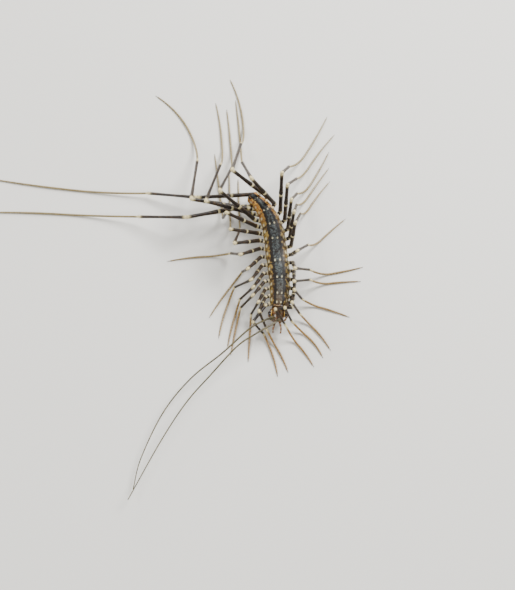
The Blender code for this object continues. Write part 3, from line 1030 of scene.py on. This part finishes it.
@dataclass(frozen=True)
class BackPlate:
    """One back plate: a thin domed shell with a raised rim, whose rear edge stands over the next."""

    number: int
    start: float
    end: float
    rows: int = 30
    cols: int = 56
    thickness: float = 0.16
    overlap: float = 0.5
    corner_sweep: float = 0.35  # how far the corners draw in, front and rear
    middle_notch: float = 0.34  # how far the rear edge draws in at the middle line
    front_pinch: float = 0.07
    rear_pinch: float = 0.05
    belly: float = 0.02
    flat_drop: float = 0.30  # the share of the sides' drop that is even; the rest is at the edge
    rim: float = 0.09
    hump: float = 0.22
    hump_at: float = 0.86
    pore_depth: float = 0.2
    longest_plain: float = 2.5  # a plate no longer than this has no breathing slit
    spot_at: float = 0.16  # where the two pale spots are: their share along, and across
    spot_across: float = 0.24
    dash_across: float = 0.85  # where the cream dashes above the hips are
    spinelets_per_mm: int = 26
    spinelet_mm: tuple = (0.10, 0.18)  # shortest and longest
    spinelet_radius: float = 0.022
    fringe_mm: tuple = (0.12, 0.2)
    fringe_radius: float = 0.025

    def surface(self, across: np.ndarray, t: float) -> np.ndarray:
        """The plate's outer points in one row, from its right edge to its left.

        Args:
            across: -1 to 1.
            t: 0 at the front edge to 1 at the rear.

        Returns:
            One point for each number across.
        """
        length = self.end - self.start
        a = np.abs(across)
        s = self.start + (length + self.overlap) * t
        s = (s - self.corner_sweep * a**5 * t**4 - self.middle_notch * bump(across, 0.0, 0.24) * t**8
             + self.corner_sweep * a**4 * (1 - t) ** 4)
        scale = np.array([body_scale(float(v)) for v in s])
        scale = (scale - self.front_pinch * (1 - t) ** 3 - self.rear_pinch * t**8
                 + self.belly * math.sin(math.pi * t))
        top = back_height(scale)
        drop = EDGE_DROP * (0.4 + 0.6 * scale)
        lift = PLATE_STEP * (-0.75 + 1.25 * t**0.7)
        z = top + lift - drop * (self.flat_drop * a**2 + (1 - self.flat_drop) * a**6.5)
        z = z + self.rim * bump(a, 0.97, 0.035) + self.rim * 0.8 * bump(t, 0.985, 0.02)
        if length > self.longest_plain:
            saddle = bump(across, 0.0, 0.17) * bump(t, self.hump_at, 0.12)
            slit = bump(across, 0.0, 0.028) * bump(t, self.hump_at, 0.075)
            z = z + self.hump * saddle - self.pore_depth * slit
        points = [SPINE.smooth_place(float(v), float(x * PLATE_HALF_WIDTH * k), float(h))
                  for v, x, k, h in zip(s, across, scale, z)]
        return np.array(points)

    def build(self, finishes: Finishes, nodes: Sequence[str]) -> bpy.types.Object:
        """Makes the plate with its fine spines.

        Args:
            finishes: the animal's materials.
            nodes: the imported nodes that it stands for.

        Returns:
            The new object.
        """
        rng = np.random.default_rng(10 + self.number)
        even, crowded = 0.65, 0.35  # how far rows and columns crowd towards the plate's edges
        across = (np.sin(np.linspace(-0.5 * np.pi, 0.5 * np.pi, self.cols)) * crowded
                  + np.linspace(-1, 1, self.cols) * even)
        shares = (0.5 - 0.5 * np.cos(np.linspace(0, np.pi, self.rows)) * crowded
                  - 0.5 * (1 - 2 * np.linspace(0, 1, self.rows)) * even)
        outer = np.array([self.surface(across, float(t)) for t in shares])
        inner = outer - UP * self.thickness
        middle = SPINE.place((self.start + self.end) / 2, 0.0, 0.0)
        level = np.array([1, 1, 0])
        inner = inner + (middle * level - inner * level) * 0.02
        rings = np.concatenate([outer, inner[:, ::-1]], axis=1)
        draft = Draft()
        a = np.abs(across)
        pale, dark, along = [], [], []
        length_mm = self.end - self.start + self.overlap
        for t in shares:
            spot = (bump(a, self.spot_across, 0.055)
                    * bump((t - self.spot_at) * length_mm, 0.0, 0.22))
            beside = math.cos(2 * math.pi * (self.start + length_mm * t - FIRST_HIP) / HIP_PITCH)
            edge = bump(a, self.dash_across, 0.075) * max(0.0, beside) ** 0.8
            pale_row = np.clip(1.3 * spot + 0.8 * edge, 0, 1)
            # Painted shade along the rear edge, where it stands over the next plate, weaker at the
            # middle line; and darker along the side edges
            shade_and_edge_row = (0.85 * bump(t, 0.97, 0.05) * (1 - 0.6 * bump(a, 0.0, 0.3))
                        + 0.6 * bump(a, 1.0, 0.03))
            pale.append(np.concatenate([pale_row, 0 * pale_row]))
            dark.append(np.concatenate([np.clip(shade_and_edge_row, 0, 1), 0 * shade_and_edge_row]))
            along.append(np.full(2 * self.cols, whole_along(self.start + (self.end - self.start) * t)))
        marks = {Mark.ACROSS: np.tile(np.concatenate([a, a[::-1]]), self.rows),
                 Mark.PALE: np.concatenate(pale), Mark.DARK: np.concatenate(dark),
                 Mark.ALONG: np.concatenate(along)}
        self.closed_shell(draft, rings, marks)
        self.hairs(draft, outer, rng)
        return draft.build(f"back_plate_{self.number}", [finishes.plate, finishes.hair], "back", nodes,
                           crease=50.0)

    def closed_shell(self, draft: Draft, rings: np.ndarray, marks: dict[Mark, object]) -> None:
        """Adds rings that run over the top and back beneath, with strips of faces closing both ends.

        Args:
            draft: the piece.
            rings: rows of points, over the top and back.
            marks: one number for each point.
        """
        rows, cols = rings.shape[:2]
        half = cols // 2
        faces = []
        for r in range(rows - 1):
            for c in range(cols):
                n = (c + 1) % cols
                faces.append([r * cols + c, (r + 1) * cols + c, (r + 1) * cols + n, r * cols + n])
        for base, flip in ((0, False), ((rows - 1) * cols, True)):
            for c in range(half - 1):
                quad = [base + c, base + c + 1, base + cols - 2 - c, base + cols - 1 - c]
                faces.append(quad[::-1] if flip else quad)
        draft.add(rings, faces, SHELL, marks)

    def hairs(self, draft: Draft, outer: np.ndarray, rng: np.random.Generator) -> None:
        """Scatters the plate's tiny spinelets, which point back, and fringes its side edges.

        Args:
            draft: the piece.
            outer: the plate's top points.
            rng: for their places and lengths.
        """
        rows, cols = outer.shape[:2]
        _, tail = SPINE.at((self.start + self.end) / 2)
        for _ in range(int(self.spinelets_per_mm * (self.end - self.start))):
            r, c = int(rng.integers(2, rows - 2)), int(rng.integers(2, cols - 2))
            draft.bristle(outer[r, c], tail * 0.8 + UP * 0.7, rng.uniform(*self.spinelet_mm),
                          self.spinelet_radius)
        for r in range(2, rows - 1):
            for c, beside in ((0, 1), (cols - 1, cols - 2)):
                way = unit(outer[r, c] - outer[r, beside]) * 0.6 + tail
                draft.bristle(outer[r, c], way, rng.uniform(*self.fringe_mm), self.fringe_radius)


@dataclass(frozen=True)
class Trunk:
    """The trunk under its plates: folded flanks, belly plates and coxae."""

    sides: int = 44
    row_mm: float = 0.14
    fold_depth: float = 0.16
    fold_power: int = 3
    skin_margin: float = 0.12  # how far the skin stands outside the solid's flank
    skin_drop: float = 0.45  # how far it stays under the plates
    side_power: float = 0.72  # under one, the section is boxy
    top_power: float = 0.78
    wrinkle: float = 0.05
    wrinkles_per_mm: float = 9 / (2 * math.pi)
    seam_shift: float = 0.3
    dot_z: float = 3.9  # the height of the pale dots along the flank
    belly_half_width: float = 1.16
    belly_rows: int = 10
    belly_cols: int = 16
    belly_reach: float = 0.45  # half a belly plate's length, in leg pitches
    belly_thickness: float = 0.3
    coxa_sides: int = 14
    # Where along a coxa, and how thick against its radius
    coxa_profile: tuple = ((-0.6, 0.62), (-0.3, 0.80), (0.0, 0.95), (0.25, 1.04), (0.5, 1.06),
                           (0.75, 1.0), (0.95, 0.92), (1.08, 0.84), (1.16, 0.62), (1.2, 0.3))
    coxa_spines: int = 5
    coxa_spine_mm: tuple = (0.3, 0.42)
    coxa_spine_radius: float = 0.04

    def seam_after(self, n: int) -> float:
        """Where a plate ends behind leg pair n.

        Args:
            n: the leg pair.

        Returns:
            The distance from the front of the head.
        """
        if n == LEG_PAIRS:
            return TRUNK_END
        return hip_along(n) + HIP_PITCH / 2 + self.seam_shift * math.sin(math.radians(coxa_fan(n + 0.5)))

    def lengths(self) -> list[tuple[int, float, float, list[int]]]:
        """Each plate's number, start, end and leg pairs.

        Returns:
            One row for each plate.
        """
        found, start, first = [], HEAD_LENGTH, 1
        for number, pairs in enumerate(PLATE_LEGS, start=1):
            end = self.seam_after(first + pairs - 1)
            found.append((number, start, end, list(range(first, first + pairs))))
            start, first = end, first + pairs
        return found

    def ring(self, s: float) -> np.ndarray:
        """The soft body's cross-section at s, with the fold between two pairs of legs.

        Args:
            s: the distance from the front of the head.

        Returns:
            The section's points.
        """
        scale = body_scale(s)
        phase = (s - FIRST_HIP) / HIP_PITCH
        fold = self.fold_depth * (0.5 - 0.5 * math.cos(2 * math.pi * phase)) ** self.fold_power
        half = (FLANK_HALF_WIDTH + self.skin_margin) * scale - fold
        top = back_height(scale) - self.skin_drop
        middle, tall = (top + BELLY_Z) / 2, (top - BELLY_Z) / 2
        points = []
        for k in range(self.sides):
            turn = 2 * math.pi * k / self.sides
            c, d = math.cos(turn), math.sin(turn)
            x = half * math.copysign(abs(c) ** self.side_power, c)
            z = middle + tall * math.copysign(abs(d) ** self.top_power, d)
            wrinkle = self.wrinkle * math.sin(2 * math.pi * self.wrinkles_per_mm * z) * c**2
            points.append(SPINE.smooth_place(s, x - math.copysign(wrinkle, c), z))
        return np.array(points)

    def build_core(self, finishes: Finishes) -> bpy.types.Object:
        """Makes the flanks, one skin from the neck to the tail.

        Args:
            finishes: the animal's materials.

        Returns:
            The new object.
        """
        stations = np.arange(HEAD_LENGTH - 0.5, TRUNK_END + 0.01, self.row_mm)
        rings = np.array([self.ring(float(s)) for s in stations])
        draft = Draft()
        rows = bump(rings[:, :, 2].ravel(), self.dot_z, 0.35)
        spots = np.clip(rows * (0.5 + 0.5 * np.sin(rings[:, :, 1].ravel() * 2.8)) - 0.55, 0, 1)
        draft.sheet(rings, {Mark.PALE: spots, Mark.ALONG: 0.5})
        return draft.build("flank_skin", [finishes.flank], "back", [f"trunk_{k}" for k in range(1, 9)])

    def build_belly(self, finishes: Finishes) -> bpy.types.Object:
        """Makes the fifteen belly plates, each a shallow shield between its two legs.

        Args:
            finishes: the animal's materials.

        Returns:
            The new object.
        """
        draft = Draft()
        for n in range(1, LEG_PAIRS + 1):
            s0 = hip_along(n)
            scale = body_scale(s0)
            u = np.linspace(-1, 1, self.belly_cols)
            rings = []
            for t in np.linspace(-1, 1, self.belly_rows):
                s = s0 + t * HIP_PITCH * self.belly_reach
                half = (self.belly_half_width * scale) * (1 - 0.18 * abs(t) ** 3)
                z = BELLY_Z - 0.02 + 0.10 * (np.abs(u) ** 4 + abs(t) ** 4)
                outer = np.array([SPINE.smooth_place(s, x * half, h) for x, h in zip(u, z)])
                rings.append(np.concatenate([outer, (outer + UP * self.belly_thickness)[::-1]]))
            draft.sheet(np.array(rings), {Mark.ALONG: whole_along(s0)})
        return draft.build("belly_plates", [finishes.belly], "back", [f"trunk_{k}" for k in range(1, 9)])

    def build_coxae(self, finishes: Finishes, number: int, pairs: Sequence[int]) -> bpy.types.Object:
        """Makes the chunky hip joints under one plate.

        Args:
            finishes: the animal's materials.
            number: the plate's number.
            pairs: the leg pairs under it.

        Returns:
            The new object.
        """
        draft = Draft()
        rng = np.random.default_rng(40 + number)
        t, thick = (np.array(column) for column in zip(*self.coxa_profile))
        lit = np.clip(1.6 * np.sin(2 * np.pi * np.arange(self.coxa_sides) / self.coxa_sides) - 0.4, 0, 1)
        # Cream at the far end, and a painted highlight on top: a cream patch on the upper side where the
        # light falls
        end = np.repeat(np.clip((t - 0.82) / 0.14, 0, 1), self.coxa_sides)
        patch = np.repeat(bump(t, 0.72, 0.3), self.coxa_sides) * np.tile(lit, len(t))
        pale = np.clip(np.maximum(end, patch), 0, 1)
        for n in pairs:
            for side in Side:
                path = LegPath(n, side)
                hip, axis = path.hip, path.axis
                centres = hip + axis * (t * (path.coxa_reach + path.gap * 0.6))[:, None]
                grid = tube_grid(centres, thick * path.coxa_radius, self.coxa_sides, squash=0.96)
                draft.sheet(grid, {Mark.PALE: pale, Mark.ALONG: whole_along(hip_along(n))})
                side_way = unit(np.cross(axis, UP))
                for k in range(self.coxa_spines):
                    turn = 2 * math.pi * (k + 0.3) / self.coxa_spines
                    out = math.cos(turn) * side_way + math.sin(turn) * np.cross(side_way, axis)
                    root = hip + axis * path.coxa_reach * 0.98 + out * path.coxa_radius * 0.8
                    draft.bristle(root, out * 0.4 + axis, rng.uniform(*self.coxa_spine_mm),
                                  self.coxa_spine_radius)
        return draft.build(f"coxae_{number}", [finishes.coxa, finishes.hair], "back",
                           [f"trunk_{number}"])

    def build(self, finishes: Finishes) -> None:
        """Makes everything between head and tail.

        Args:
            finishes: the animal's materials.
        """
        self.build_core(finishes)
        self.build_belly(finishes)
        for number, start, end, pairs in self.lengths():
            BackPlate(number, start, end).build(finishes, [f"trunk_{number}"])
            self.build_coxae(finishes, number, pairs)


@dataclass(frozen=True)
class Head:
    """The head shell with its eyes, feelers and mouthparts."""

    # distance along, half breadth, underside and top of the shell
    sections: tuple = ((0.0, 0.10, 3.35, 3.75), (0.15, 0.72, 3.05, 4.1), (0.55, 1.22, 2.8, 4.65),
                       (1.4, 1.58, 2.65, 5.2), (2.4, 1.68, 2.6, 5.42), (3.2, 1.62, 2.6, 5.32),
                       (3.73, 1.34, 2.8, 5.0), (4.0, 1.0, 3.1, 4.6))
    sides: int = 56
    groove: float = 0.09  # the depth of the groove along the middle
    lobe: float = 0.07  # the height of the two lobes behind the feelers
    seam: float = 0.06  # the depth of the fold before the neck
    hairs: int = 130
    hair_mm: tuple = (0.16, 0.32)  # shortest and longest
    hair_radius: float = 0.024
    eye_place: tuple = (1.9, 4.25)
    eye_aside: float = 1.45
    eye_radius: float = 0.7
    eye_reach: float = 1.06  # how far the lenses stand out from eye_aside
    rim_aside: float = 0.16
    rim_radius: float = 0.75
    rim_thickness: float = 0.10
    eye_rows: int = 16
    eye_sides: int = 28
    rim_steps: int = 40
    rim_sides: int = 8

    def shell(self) -> np.ndarray:
        """The shell's rings with its groove, its front lobes and the fold at the neck.

        Returns:
            Rings by sides by three.
        """
        rows = smooth_path([(s, half, low, high) for s, half, low, high in self.sections], 8)
        rings = []
        for s, half, low, high in rows:
            ring = []
            for k in range(self.sides):
                turn = 2 * math.pi * k / self.sides
                c, d = math.cos(turn), math.sin(turn)
                x = half * math.copysign(abs(c) ** 0.9, c)
                z = (low + high) / 2 + (high - low) / 2 * math.copysign(abs(d) ** 0.92, d)
                up = max(0.0, d)
                groove = self.groove * bump(x, 0.0, 0.10) * up * math.exp(-(((s - 2.5) / 1.1) ** 4))
                lobes = self.lobe * bump(abs(x), 0.55, 0.35) * up * bump(s, 1.0, 0.55)
                seam = self.seam * bump(s - 0.18 * abs(x), 3.05, 0.09) * up
                ring.append(SPINE.smooth_place(float(s), x, z - groove + lobes - seam))
            rings.append(ring)
        return np.array(rings)

    def build_shell(self, finishes: Finishes) -> bpy.types.Object:
        """Makes the head shell with scattered hairs.

        Args:
            finishes: the animal's materials.

        Returns:
            The new object.
        """
        rings = self.shell()
        draft = Draft()
        rng = np.random.default_rng(5)
        rows, cols = rings.shape[:2]
        turn = 2 * np.pi * np.arange(cols) / cols
        top, row = np.clip(np.sin(turn), 0, 1), np.arange(rows)[:, None]
        # A dark stripe down the middle, and a row of pale clouds on each side of it
        dark = 0.75 * bump(np.cos(turn), 0.0, 0.16) * top * (0.3 + 0.7 * row / rows)
        pale = 0.35 * bump(np.abs(np.cos(turn)), 0.42, 0.16) * top * (0.5 + 0.5 * np.sin(row * 0.7))
        draft.sheet(rings, {Mark.PALE: pale, Mark.DARK: dark})
        _, tail = SPINE.at(0.5)
        for _ in range(self.hairs):
            r, c = int(rng.integers(3, rows - 8)), int(rng.integers(0, cols))
            if top[c] < 0.15:
                continue
            out = unit(rings[r, c] - rings[r].mean(axis=0))
            draft.bristle(rings[r, c], out - tail * 0.5, rng.uniform(*self.hair_mm), self.hair_radius)
        return draft.build("head_shell", [finishes.head, finishes.hair], "head", ["head"])

    def build_eye(self, finishes: Finishes, side: Side) -> None:
        """Makes one bulging eye and the yellow rim round it.

        Args:
            finishes: the animal's materials.
            side: which side of the animal.
        """
        _, tail = SPINE.at(0.0)
        out = np.array([tail[1], -tail[0], 0.0]) * side.value
        base = SPINE.place(self.eye_place[0], side.value * self.eye_aside, self.eye_place[1])
        angles = np.linspace(0.02, 0.98 * np.pi / 2, self.eye_rows)
        centres = base + out * (self.eye_reach * np.sin(angles))[:, None]
        radii = self.eye_radius * 1.06 * np.cos(angles) ** 0.75
        draft = Draft()
        draft.sheet(tube_grid(centres, radii, self.eye_sides))
        draft.build(f"{side.word}_eye", [finishes.eye], "eye", [f"eye_{side.word}"])
        rim = Draft()
        turns = np.linspace(0, 2 * np.pi, self.rim_steps + 1)[:-1]
        ring_side = unit(np.cross(out, UP))
        centre = base + out * self.rim_aside
        loop = [centre + self.rim_radius * (math.cos(v) * ring_side + math.sin(v) * UP) for v in turns]
        small = 2 * np.pi * np.arange(self.rim_sides) / self.rim_sides
        grid = np.array([[p + self.rim_thickness * (math.cos(w) * unit(p - centre) + math.sin(w) * out)
                          for w in small] for p in loop])
        rows, cols = grid.shape[:2]
        faces = [[r * cols + c, ((r + 1) % rows) * cols + c, ((r + 1) % rows) * cols + (c + 1) % cols,
                  r * cols + (c + 1) % cols] for r in range(rows) for c in range(cols)]
        rim.add(grid, faces)
        rim.build(f"{side.word}_eye_rim", [finishes.rim], "head", [f"eye_{side.word}"])

    def build(self, finishes: Finishes) -> None:
        """Makes the head.

        Args:
            finishes: the animal's materials.
        """
        self.build_shell(finishes)
        for side in Side:
            self.build_eye(finishes, side)
            Feeler(side).build(finishes)
            Mouthparts(side).build(finishes)


@dataclass(frozen=True)
class Feeler:
    """One long feeler: two thick base joints, then rings by the hundred, each with a whorl of hairs."""

    side: Side
    radius: float = 0.27
    tip_radius: float = 0.12
    root: tuple = (0.75, 0.95, 4.35)
    reach: float = 0.85
    gap: float = 0.34
    ring_mm: float = 0.42  # real ones are near 0.1; drawn coarser so that they show
    sides: int = 8
    base_sides: int = 16
    # Where along the two base joints, and how thick
    base_profile: tuple = ((-0.1, 0.34), (0.15, 0.42), (0.35, 0.44), (0.5, 0.41), (0.62, 0.33),
                           (0.78, 0.37), (0.95, 0.38), (1.1, 0.34), (1.22, 0.24))
    ring_profile: tuple = (0.84, 1.0, 1.0)  # a ring's thickness, row by row
    whorl: int = 4  # hairs on every second ring
    hair_mm: tuple = (0.16, 0.26)
    hair_radius: float = 0.018

    @property
    def route(self) -> list[tuple[float, float, float]]:
        """What the feeler passes through, as the solids have it.

        Returns:
            The places.
        """
        if self.side is Side.RIGHT:
            return [(-5.2, -17.4, 5.4), (-9.5, -18.9, 5.4), (-17, -23.2, 4.0), (-26, -28, 3.0),
                    (-34, -35, 2.2), (-41, -45, 1.6), (-44, -52, 1.3)]
        return [(-3.6, -18.9, 5.6), (-8.3, -20.8, 5.9), (-13.5, -22.9, 5.1), (-21, -28.3, 3.8),
                (-28, -33.9, 3.3), (-35.5, -42.0, 3.0), (-45.5, -54.6, 2.6)]

    def build(self, finishes: Finishes) -> bpy.types.Object:
        """Makes the feeler.

        Args:
            finishes: the animal's materials.

        Returns:
            The new object.
        """
        root = SPINE.place(self.root[0], self.root[1] * self.side.value, self.root[2])
        axis = unit(np.array(self.route[0]) - root)
        start = root + axis * (self.reach + self.gap)
        path = smooth_path([tuple(start), tuple(start + axis * 0.5)] + self.route, 60)
        steps = np.linalg.norm(np.diff(path, axis=0), axis=1)
        marks = np.concatenate([[0.0], np.cumsum(steps)])
        rings = int(marks[-1] / self.ring_mm)
        step = len(self.ring_profile)
        rows = rings * step + 1
        along = np.linspace(0, marks[-1], rows)
        centres = np.array([[np.interp(v, marks, path[:, k]) for k in range(3)] for v in along])
        share = along / marks[-1]
        radii = self.radius + (self.tip_radius - self.radius) * share
        phase = np.arange(rows) % step
        shape = np.array(self.ring_profile)[phase]
        shape[-2:] = (0.7, 0.25)  # the blunt tip
        draft = Draft()
        draft.sheet(tube_grid(centres, radii * shape, self.sides),
                    {Mark.RING: np.repeat(np.where(phase == 0, 1.0, 0.0), self.sides)})
        reach, thick = (np.array(column) for column in zip(*self.base_profile))
        draft.sheet(tube_grid(root + axis * reach[:, None], thick, self.base_sides))
        rng = np.random.default_rng(60 + self.side.value)
        for k in range(2 * step, rows - step, 2 * step):
            way = unit(centres[k + 1] - centres[k - 1])
            side = unit(np.cross(way, UP))
            top = np.cross(side, way)
            for j in range(self.whorl):
                turn = 2 * math.pi * (j + rng.random() * 0.5) / self.whorl
                out = math.cos(turn) * side + math.sin(turn) * top
                draft.bristle(centres[k] + out * radii[k] * 0.9, out * 0.8 + way,
                              rng.uniform(*self.hair_mm), self.hair_radius)
        word = self.side.word
        return draft.build(f"{word}_feeler", [finishes.feeler, finishes.hair], "feeler",
                           [f"antenna_{word}"])


@dataclass(frozen=True)
class Mouthparts:
    """One side's poison claw, palp and jaw."""

    side: Side
    # Each limb's places: the distance along the body, aside, and the height
    claw: tuple = ((3.5, 1.5, 3.2), (3.0, 1.95, 2.75), (2.2, 2.15, 2.3), (1.4, 1.8, 1.95),
                   (0.95, 1.05, 1.85), (0.95, 0.42, 1.8))
    palp: tuple = ((0.5, 0.5, 3.05), (-0.05, 0.62, 2.9), (-0.7, 0.85, 2.65), (-1.5, 1.0, 2.1),
                   (-2.2, 0.9, 1.4))
    jaw: tuple = ((1.3, 1.05, 3.0), (0.6, 0.9, 2.75), (0.2, 0.35, 2.8))
    # Each limb's radius at its root and tip, the shares where its joints are, and the share from
    # which it darkens
    claw_form: tuple = (0.46, 0.12, (0.22, 0.5, 0.68), 0.72)
    palp_form: tuple = (0.3, 0.2, (0.3, 0.55, 0.8), 0.97)
    jaw_form: tuple = (0.42, 0.2, (0.5,), 0.7)
    sides: int = 14
    hair_mm: tuple = (0.25, 0.45)
    hair_radius: float = 0.022

    def points(self, given: Sequence[Sequence[float]], per_span: int) -> np.ndarray:
        """A smooth path through places on this side of the head."""
        sign = self.side.value
        return smooth_path([tuple(SPINE.place(s, x * sign, z)) for s, x, z in given], per_span)

    def jointed(self, draft: Draft, path: np.ndarray, first: float, last: float, cuts: Sequence[float],
                dark_from: float) -> None:
        """Adds a limb in joints.

        Args:
            draft: the piece.
            path: its middle line.
            first: radius at its root.
            last: radius at its tip.
            cuts: where its joints are, as shares of its length.
            dark_from: the share from which it darkens to its tip.
        """
        share = np.linspace(0, 1, len(path))
        fine = np.sort(np.concatenate([share, [0.004, 0.012, 0.03, 0.97, 0.988, 0.996]]))
        path = np.stack([np.interp(fine, share, path[:, k]) for k in range(3)], axis=1)
        share = fine
        radii = first + (last - first) * share
        waist = sum(bump(share, cut, 0.028) for cut in cuts)
        blunt = np.sqrt(np.clip(np.minimum(share, 1 - share) / 0.05, 0.0, 1.0))
        radii = radii * (1 - 0.22 * waist) * (0.12 + 0.88 * blunt)
        dark = np.clip((share - dark_from) / 0.12, 0, 1)
        draft.sheet(tube_grid(path, radii, self.sides),
                    {Mark.PALE: np.repeat(0.6 * np.clip(waist, 0, 1), self.sides),
                     Mark.DARK: np.repeat(dark, self.sides)})

    def build(self, finishes: Finishes) -> None:
        """Makes the three.

        Args:
            finishes: the animal's materials.
        """
        word = self.side.word
        rng = np.random.default_rng(80 + self.side.value)
        claw = Draft()
        self.jointed(claw, self.points(self.claw, 14), *self.claw_form)
        claw.build(f"{word}_poison_claw", [finishes.claw], "head", [f"forcipule_{word}"])
        palp = Draft()
        path = self.points(self.palp, 16)
        self.jointed(palp, path, *self.palp_form)
        for k in range(14, len(path) - 2, 3):
            way = unit(path[k + 1] - path[k - 1])
            out = unit(np.array([rng.normal(), rng.normal(), rng.normal()]))
            out = unit(out - way * np.dot(out, way))
            palp.bristle(path[k] + out * 0.2, out * 0.8 + way, rng.uniform(*self.hair_mm),
                         self.hair_radius)
        palp.build(f"{word}_palp", [finishes.claw, finishes.hair], "head", [f"palp_{word}"])
        jaw = Draft()
        self.jointed(jaw, self.points(self.jaw, 10), *self.jaw_form)
        jaw.build(f"{word}_jaw", [finishes.head], "head", ["head"])


@dataclass(frozen=True)
class Tail:
    """The tail end: a short cone with two small valves."""

    sides: int = 24
    rows: int = 12
    # Where along the cone: its half breadth, its underside and its top
    breadths: tuple = ((0, 0.55, 0.9, 1.0), (1.0, 0.78, 0.42, 0.12))
    undersides: tuple = ((0, 0.55, 1.0), (2.85, 2.95, 3.2))
    tops: tuple = ((0, 0.55, 1.0), (4.35, 4.15, 3.6))
    valve_radii: tuple = (0.2, 0.26, 0.28, 0.28, 0.26, 0.23, 0.18, 0.12, 0.04)
    valve_sides: int = 12
    valve_aside: float = 0.32
    root_inset: float = 0.3
    tip_reach: float = 0.15  # how far the cone's tip stands past the solid's length

    def build(self, finishes: Finishes) -> bpy.types.Object:
        """Makes the tail end.

        Args:
            finishes: the animal's materials.

        Returns:
            The new object.
        """
        draft = Draft()
        shares = np.linspace(0, 1, self.rows)
        turns = 2 * np.pi * np.arange(self.sides) / self.sides
        rings = []
        for t in shares:
            half, low, high = (float(np.interp(t, *table))
                               for table in (self.breadths, self.undersides, self.tops))
            s = TRUNK_END - self.root_inset + (TAIL_LENGTH + self.root_inset + self.tip_reach) * t
            rings.append([SPINE.smooth_place(s, half * math.cos(v),
                                             (low + high) / 2 + (high - low) / 2 * math.sin(v))
                          for v in turns])
        dark = np.repeat(np.clip(shares - 0.5, 0, 0.4), self.sides)
        draft.sheet(np.array(rings), {Mark.DARK: dark, Mark.ALONG: 1.0})
        for side in Side:
            aside = self.valve_aside * side.value
            path = np.array([SPINE.smooth_place(TRUNK_END + t, aside * (1 - 0.2 * t), 3.3 - 0.1 * t)
                             for t in np.linspace(0.4, 1.25, len(self.valve_radii))])
            draft.sheet(tube_grid(path, np.array(self.valve_radii), self.valve_sides),
                        {Mark.PALE: 0.25, Mark.ALONG: 1.0})
        return draft.build("tail_end", [finishes.coxa], "back", ["tail"])


@dataclass(frozen=True)
class Lamp:
    """A round soft light that faces the animal."""

    name: str
    place: tuple
    size: float
    watts: float


@dataclass(frozen=True)
class Studio:
    """A plain pale floor, soft light, and the camera where the photograph was taken from."""

    lens_mm: float = 67.0
    sensor_mm: float = 36.0
    azimuth: float = -12.0
    elevation: float = 62.0
    place: tuple = (-32.34, -135.70, 246.71)  # in the midline's numbers
    floor_reach: float = 1.2
    lit: tuple = (0.025, 0.0, 0.004)  # what the lamps face
    lamps: tuple = (Lamp("key", (0.42, 0.20, 0.44), 0.34, 9.0),
                    Lamp("fill", (-0.42, -0.30, 0.40), 0.4, 3.0),
                    Lamp("rim", (-0.10, 0.55, 0.25), 0.2, 2.5))
    sky: float = 0.55

    def build_floor(self) -> None:
        """Lays the floor."""
        mesh = bpy.data.meshes.new("floor")
        corners = [(x * self.floor_reach, y * self.floor_reach, 0)
                   for x, y in ((-1, -1), (1, -1), (1, 1), (-1, 1))]
        mesh.from_pydata(corners, [], [(0, 1, 2, 3)])
        floor = bpy.data.objects.new("floor", mesh)
        bpy.context.scene.collection.objects.link(floor)
        # Uncoated paper, pressed smooth: no highlight, only soft shadow
        made = bpy.data.materials.new("pale matt paper")
        made.use_nodes = True
        shader = made.node_tree.nodes["Principled BSDF"]
        shader.inputs["Base Color"].default_value = srgb("#DAD8D2")
        shader.inputs["Roughness"].default_value = 0.85
        mesh.materials.append(made)

    def build_light(self) -> None:
        """Hangs a large key light, a smaller fill and an even sky."""
        for lamp in self.lamps:
            light = bpy.data.lights.new(lamp.name, "AREA")
            light.shape = "DISK"
            light.size = lamp.size
            light.energy = lamp.watts
            hung = bpy.data.objects.new(lamp.name, light)
            hung.location = lamp.place
            way = Vector(self.lit) - Vector(lamp.place)
            hung.rotation_euler = way.to_track_quat("-Z", "Y").to_euler()
            bpy.context.scene.collection.objects.link(hung)
        world = bpy.data.worlds.new("studio")
        world.use_nodes = True
        background = world.node_tree.nodes["Background"]
        background.inputs["Color"].default_value = srgb("#EDECE8")
        background.inputs["Strength"].default_value = self.sky
        bpy.context.scene.world = world

    def build_camera(self) -> None:
        """Sets the camera."""
        turn, rise = math.radians(self.azimuth), math.radians(self.elevation)
        flat = math.cos(rise)
        back = Vector((math.sin(turn) * flat, -math.cos(turn) * flat, math.sin(rise)))
        right = Vector((math.cos(turn), math.sin(turn), 0.0))
        up = back.cross(right)
        data = bpy.data.cameras.new("camera")
        data.lens = self.lens_mm
        data.sensor_width = self.sensor_mm
        data.clip_start = 0.01
        camera = bpy.data.objects.new("camera", data)
        place = Vector((np.array(self.place) + CENTRING) * MM)
        rotation = Matrix((right, up, back)).transposed().to_4x4()
        camera.matrix_world = Matrix.Translation(place) @ rotation
        bpy.context.scene.collection.objects.link(camera)
        bpy.context.scene.camera = camera


def main() -> None:
    """Builds the animal and its studio."""
    logging.basicConfig(level=logging.INFO, format="%(message)s")
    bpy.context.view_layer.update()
    finishes = Finishes()
    studio = Studio()
    studio.build_camera()
    Head().build(finishes)
    Trunk().build(finishes)
    Tail().build(finishes)
    for n in range(1, LEG_PAIRS + 1):
        for side in Side:
            Leg(LegPath(n, side)).build(finishes)
    studio.build_floor()
    studio.build_light()
    bpy.context.view_layer.update()


if __name__ == "__main__":
    main()
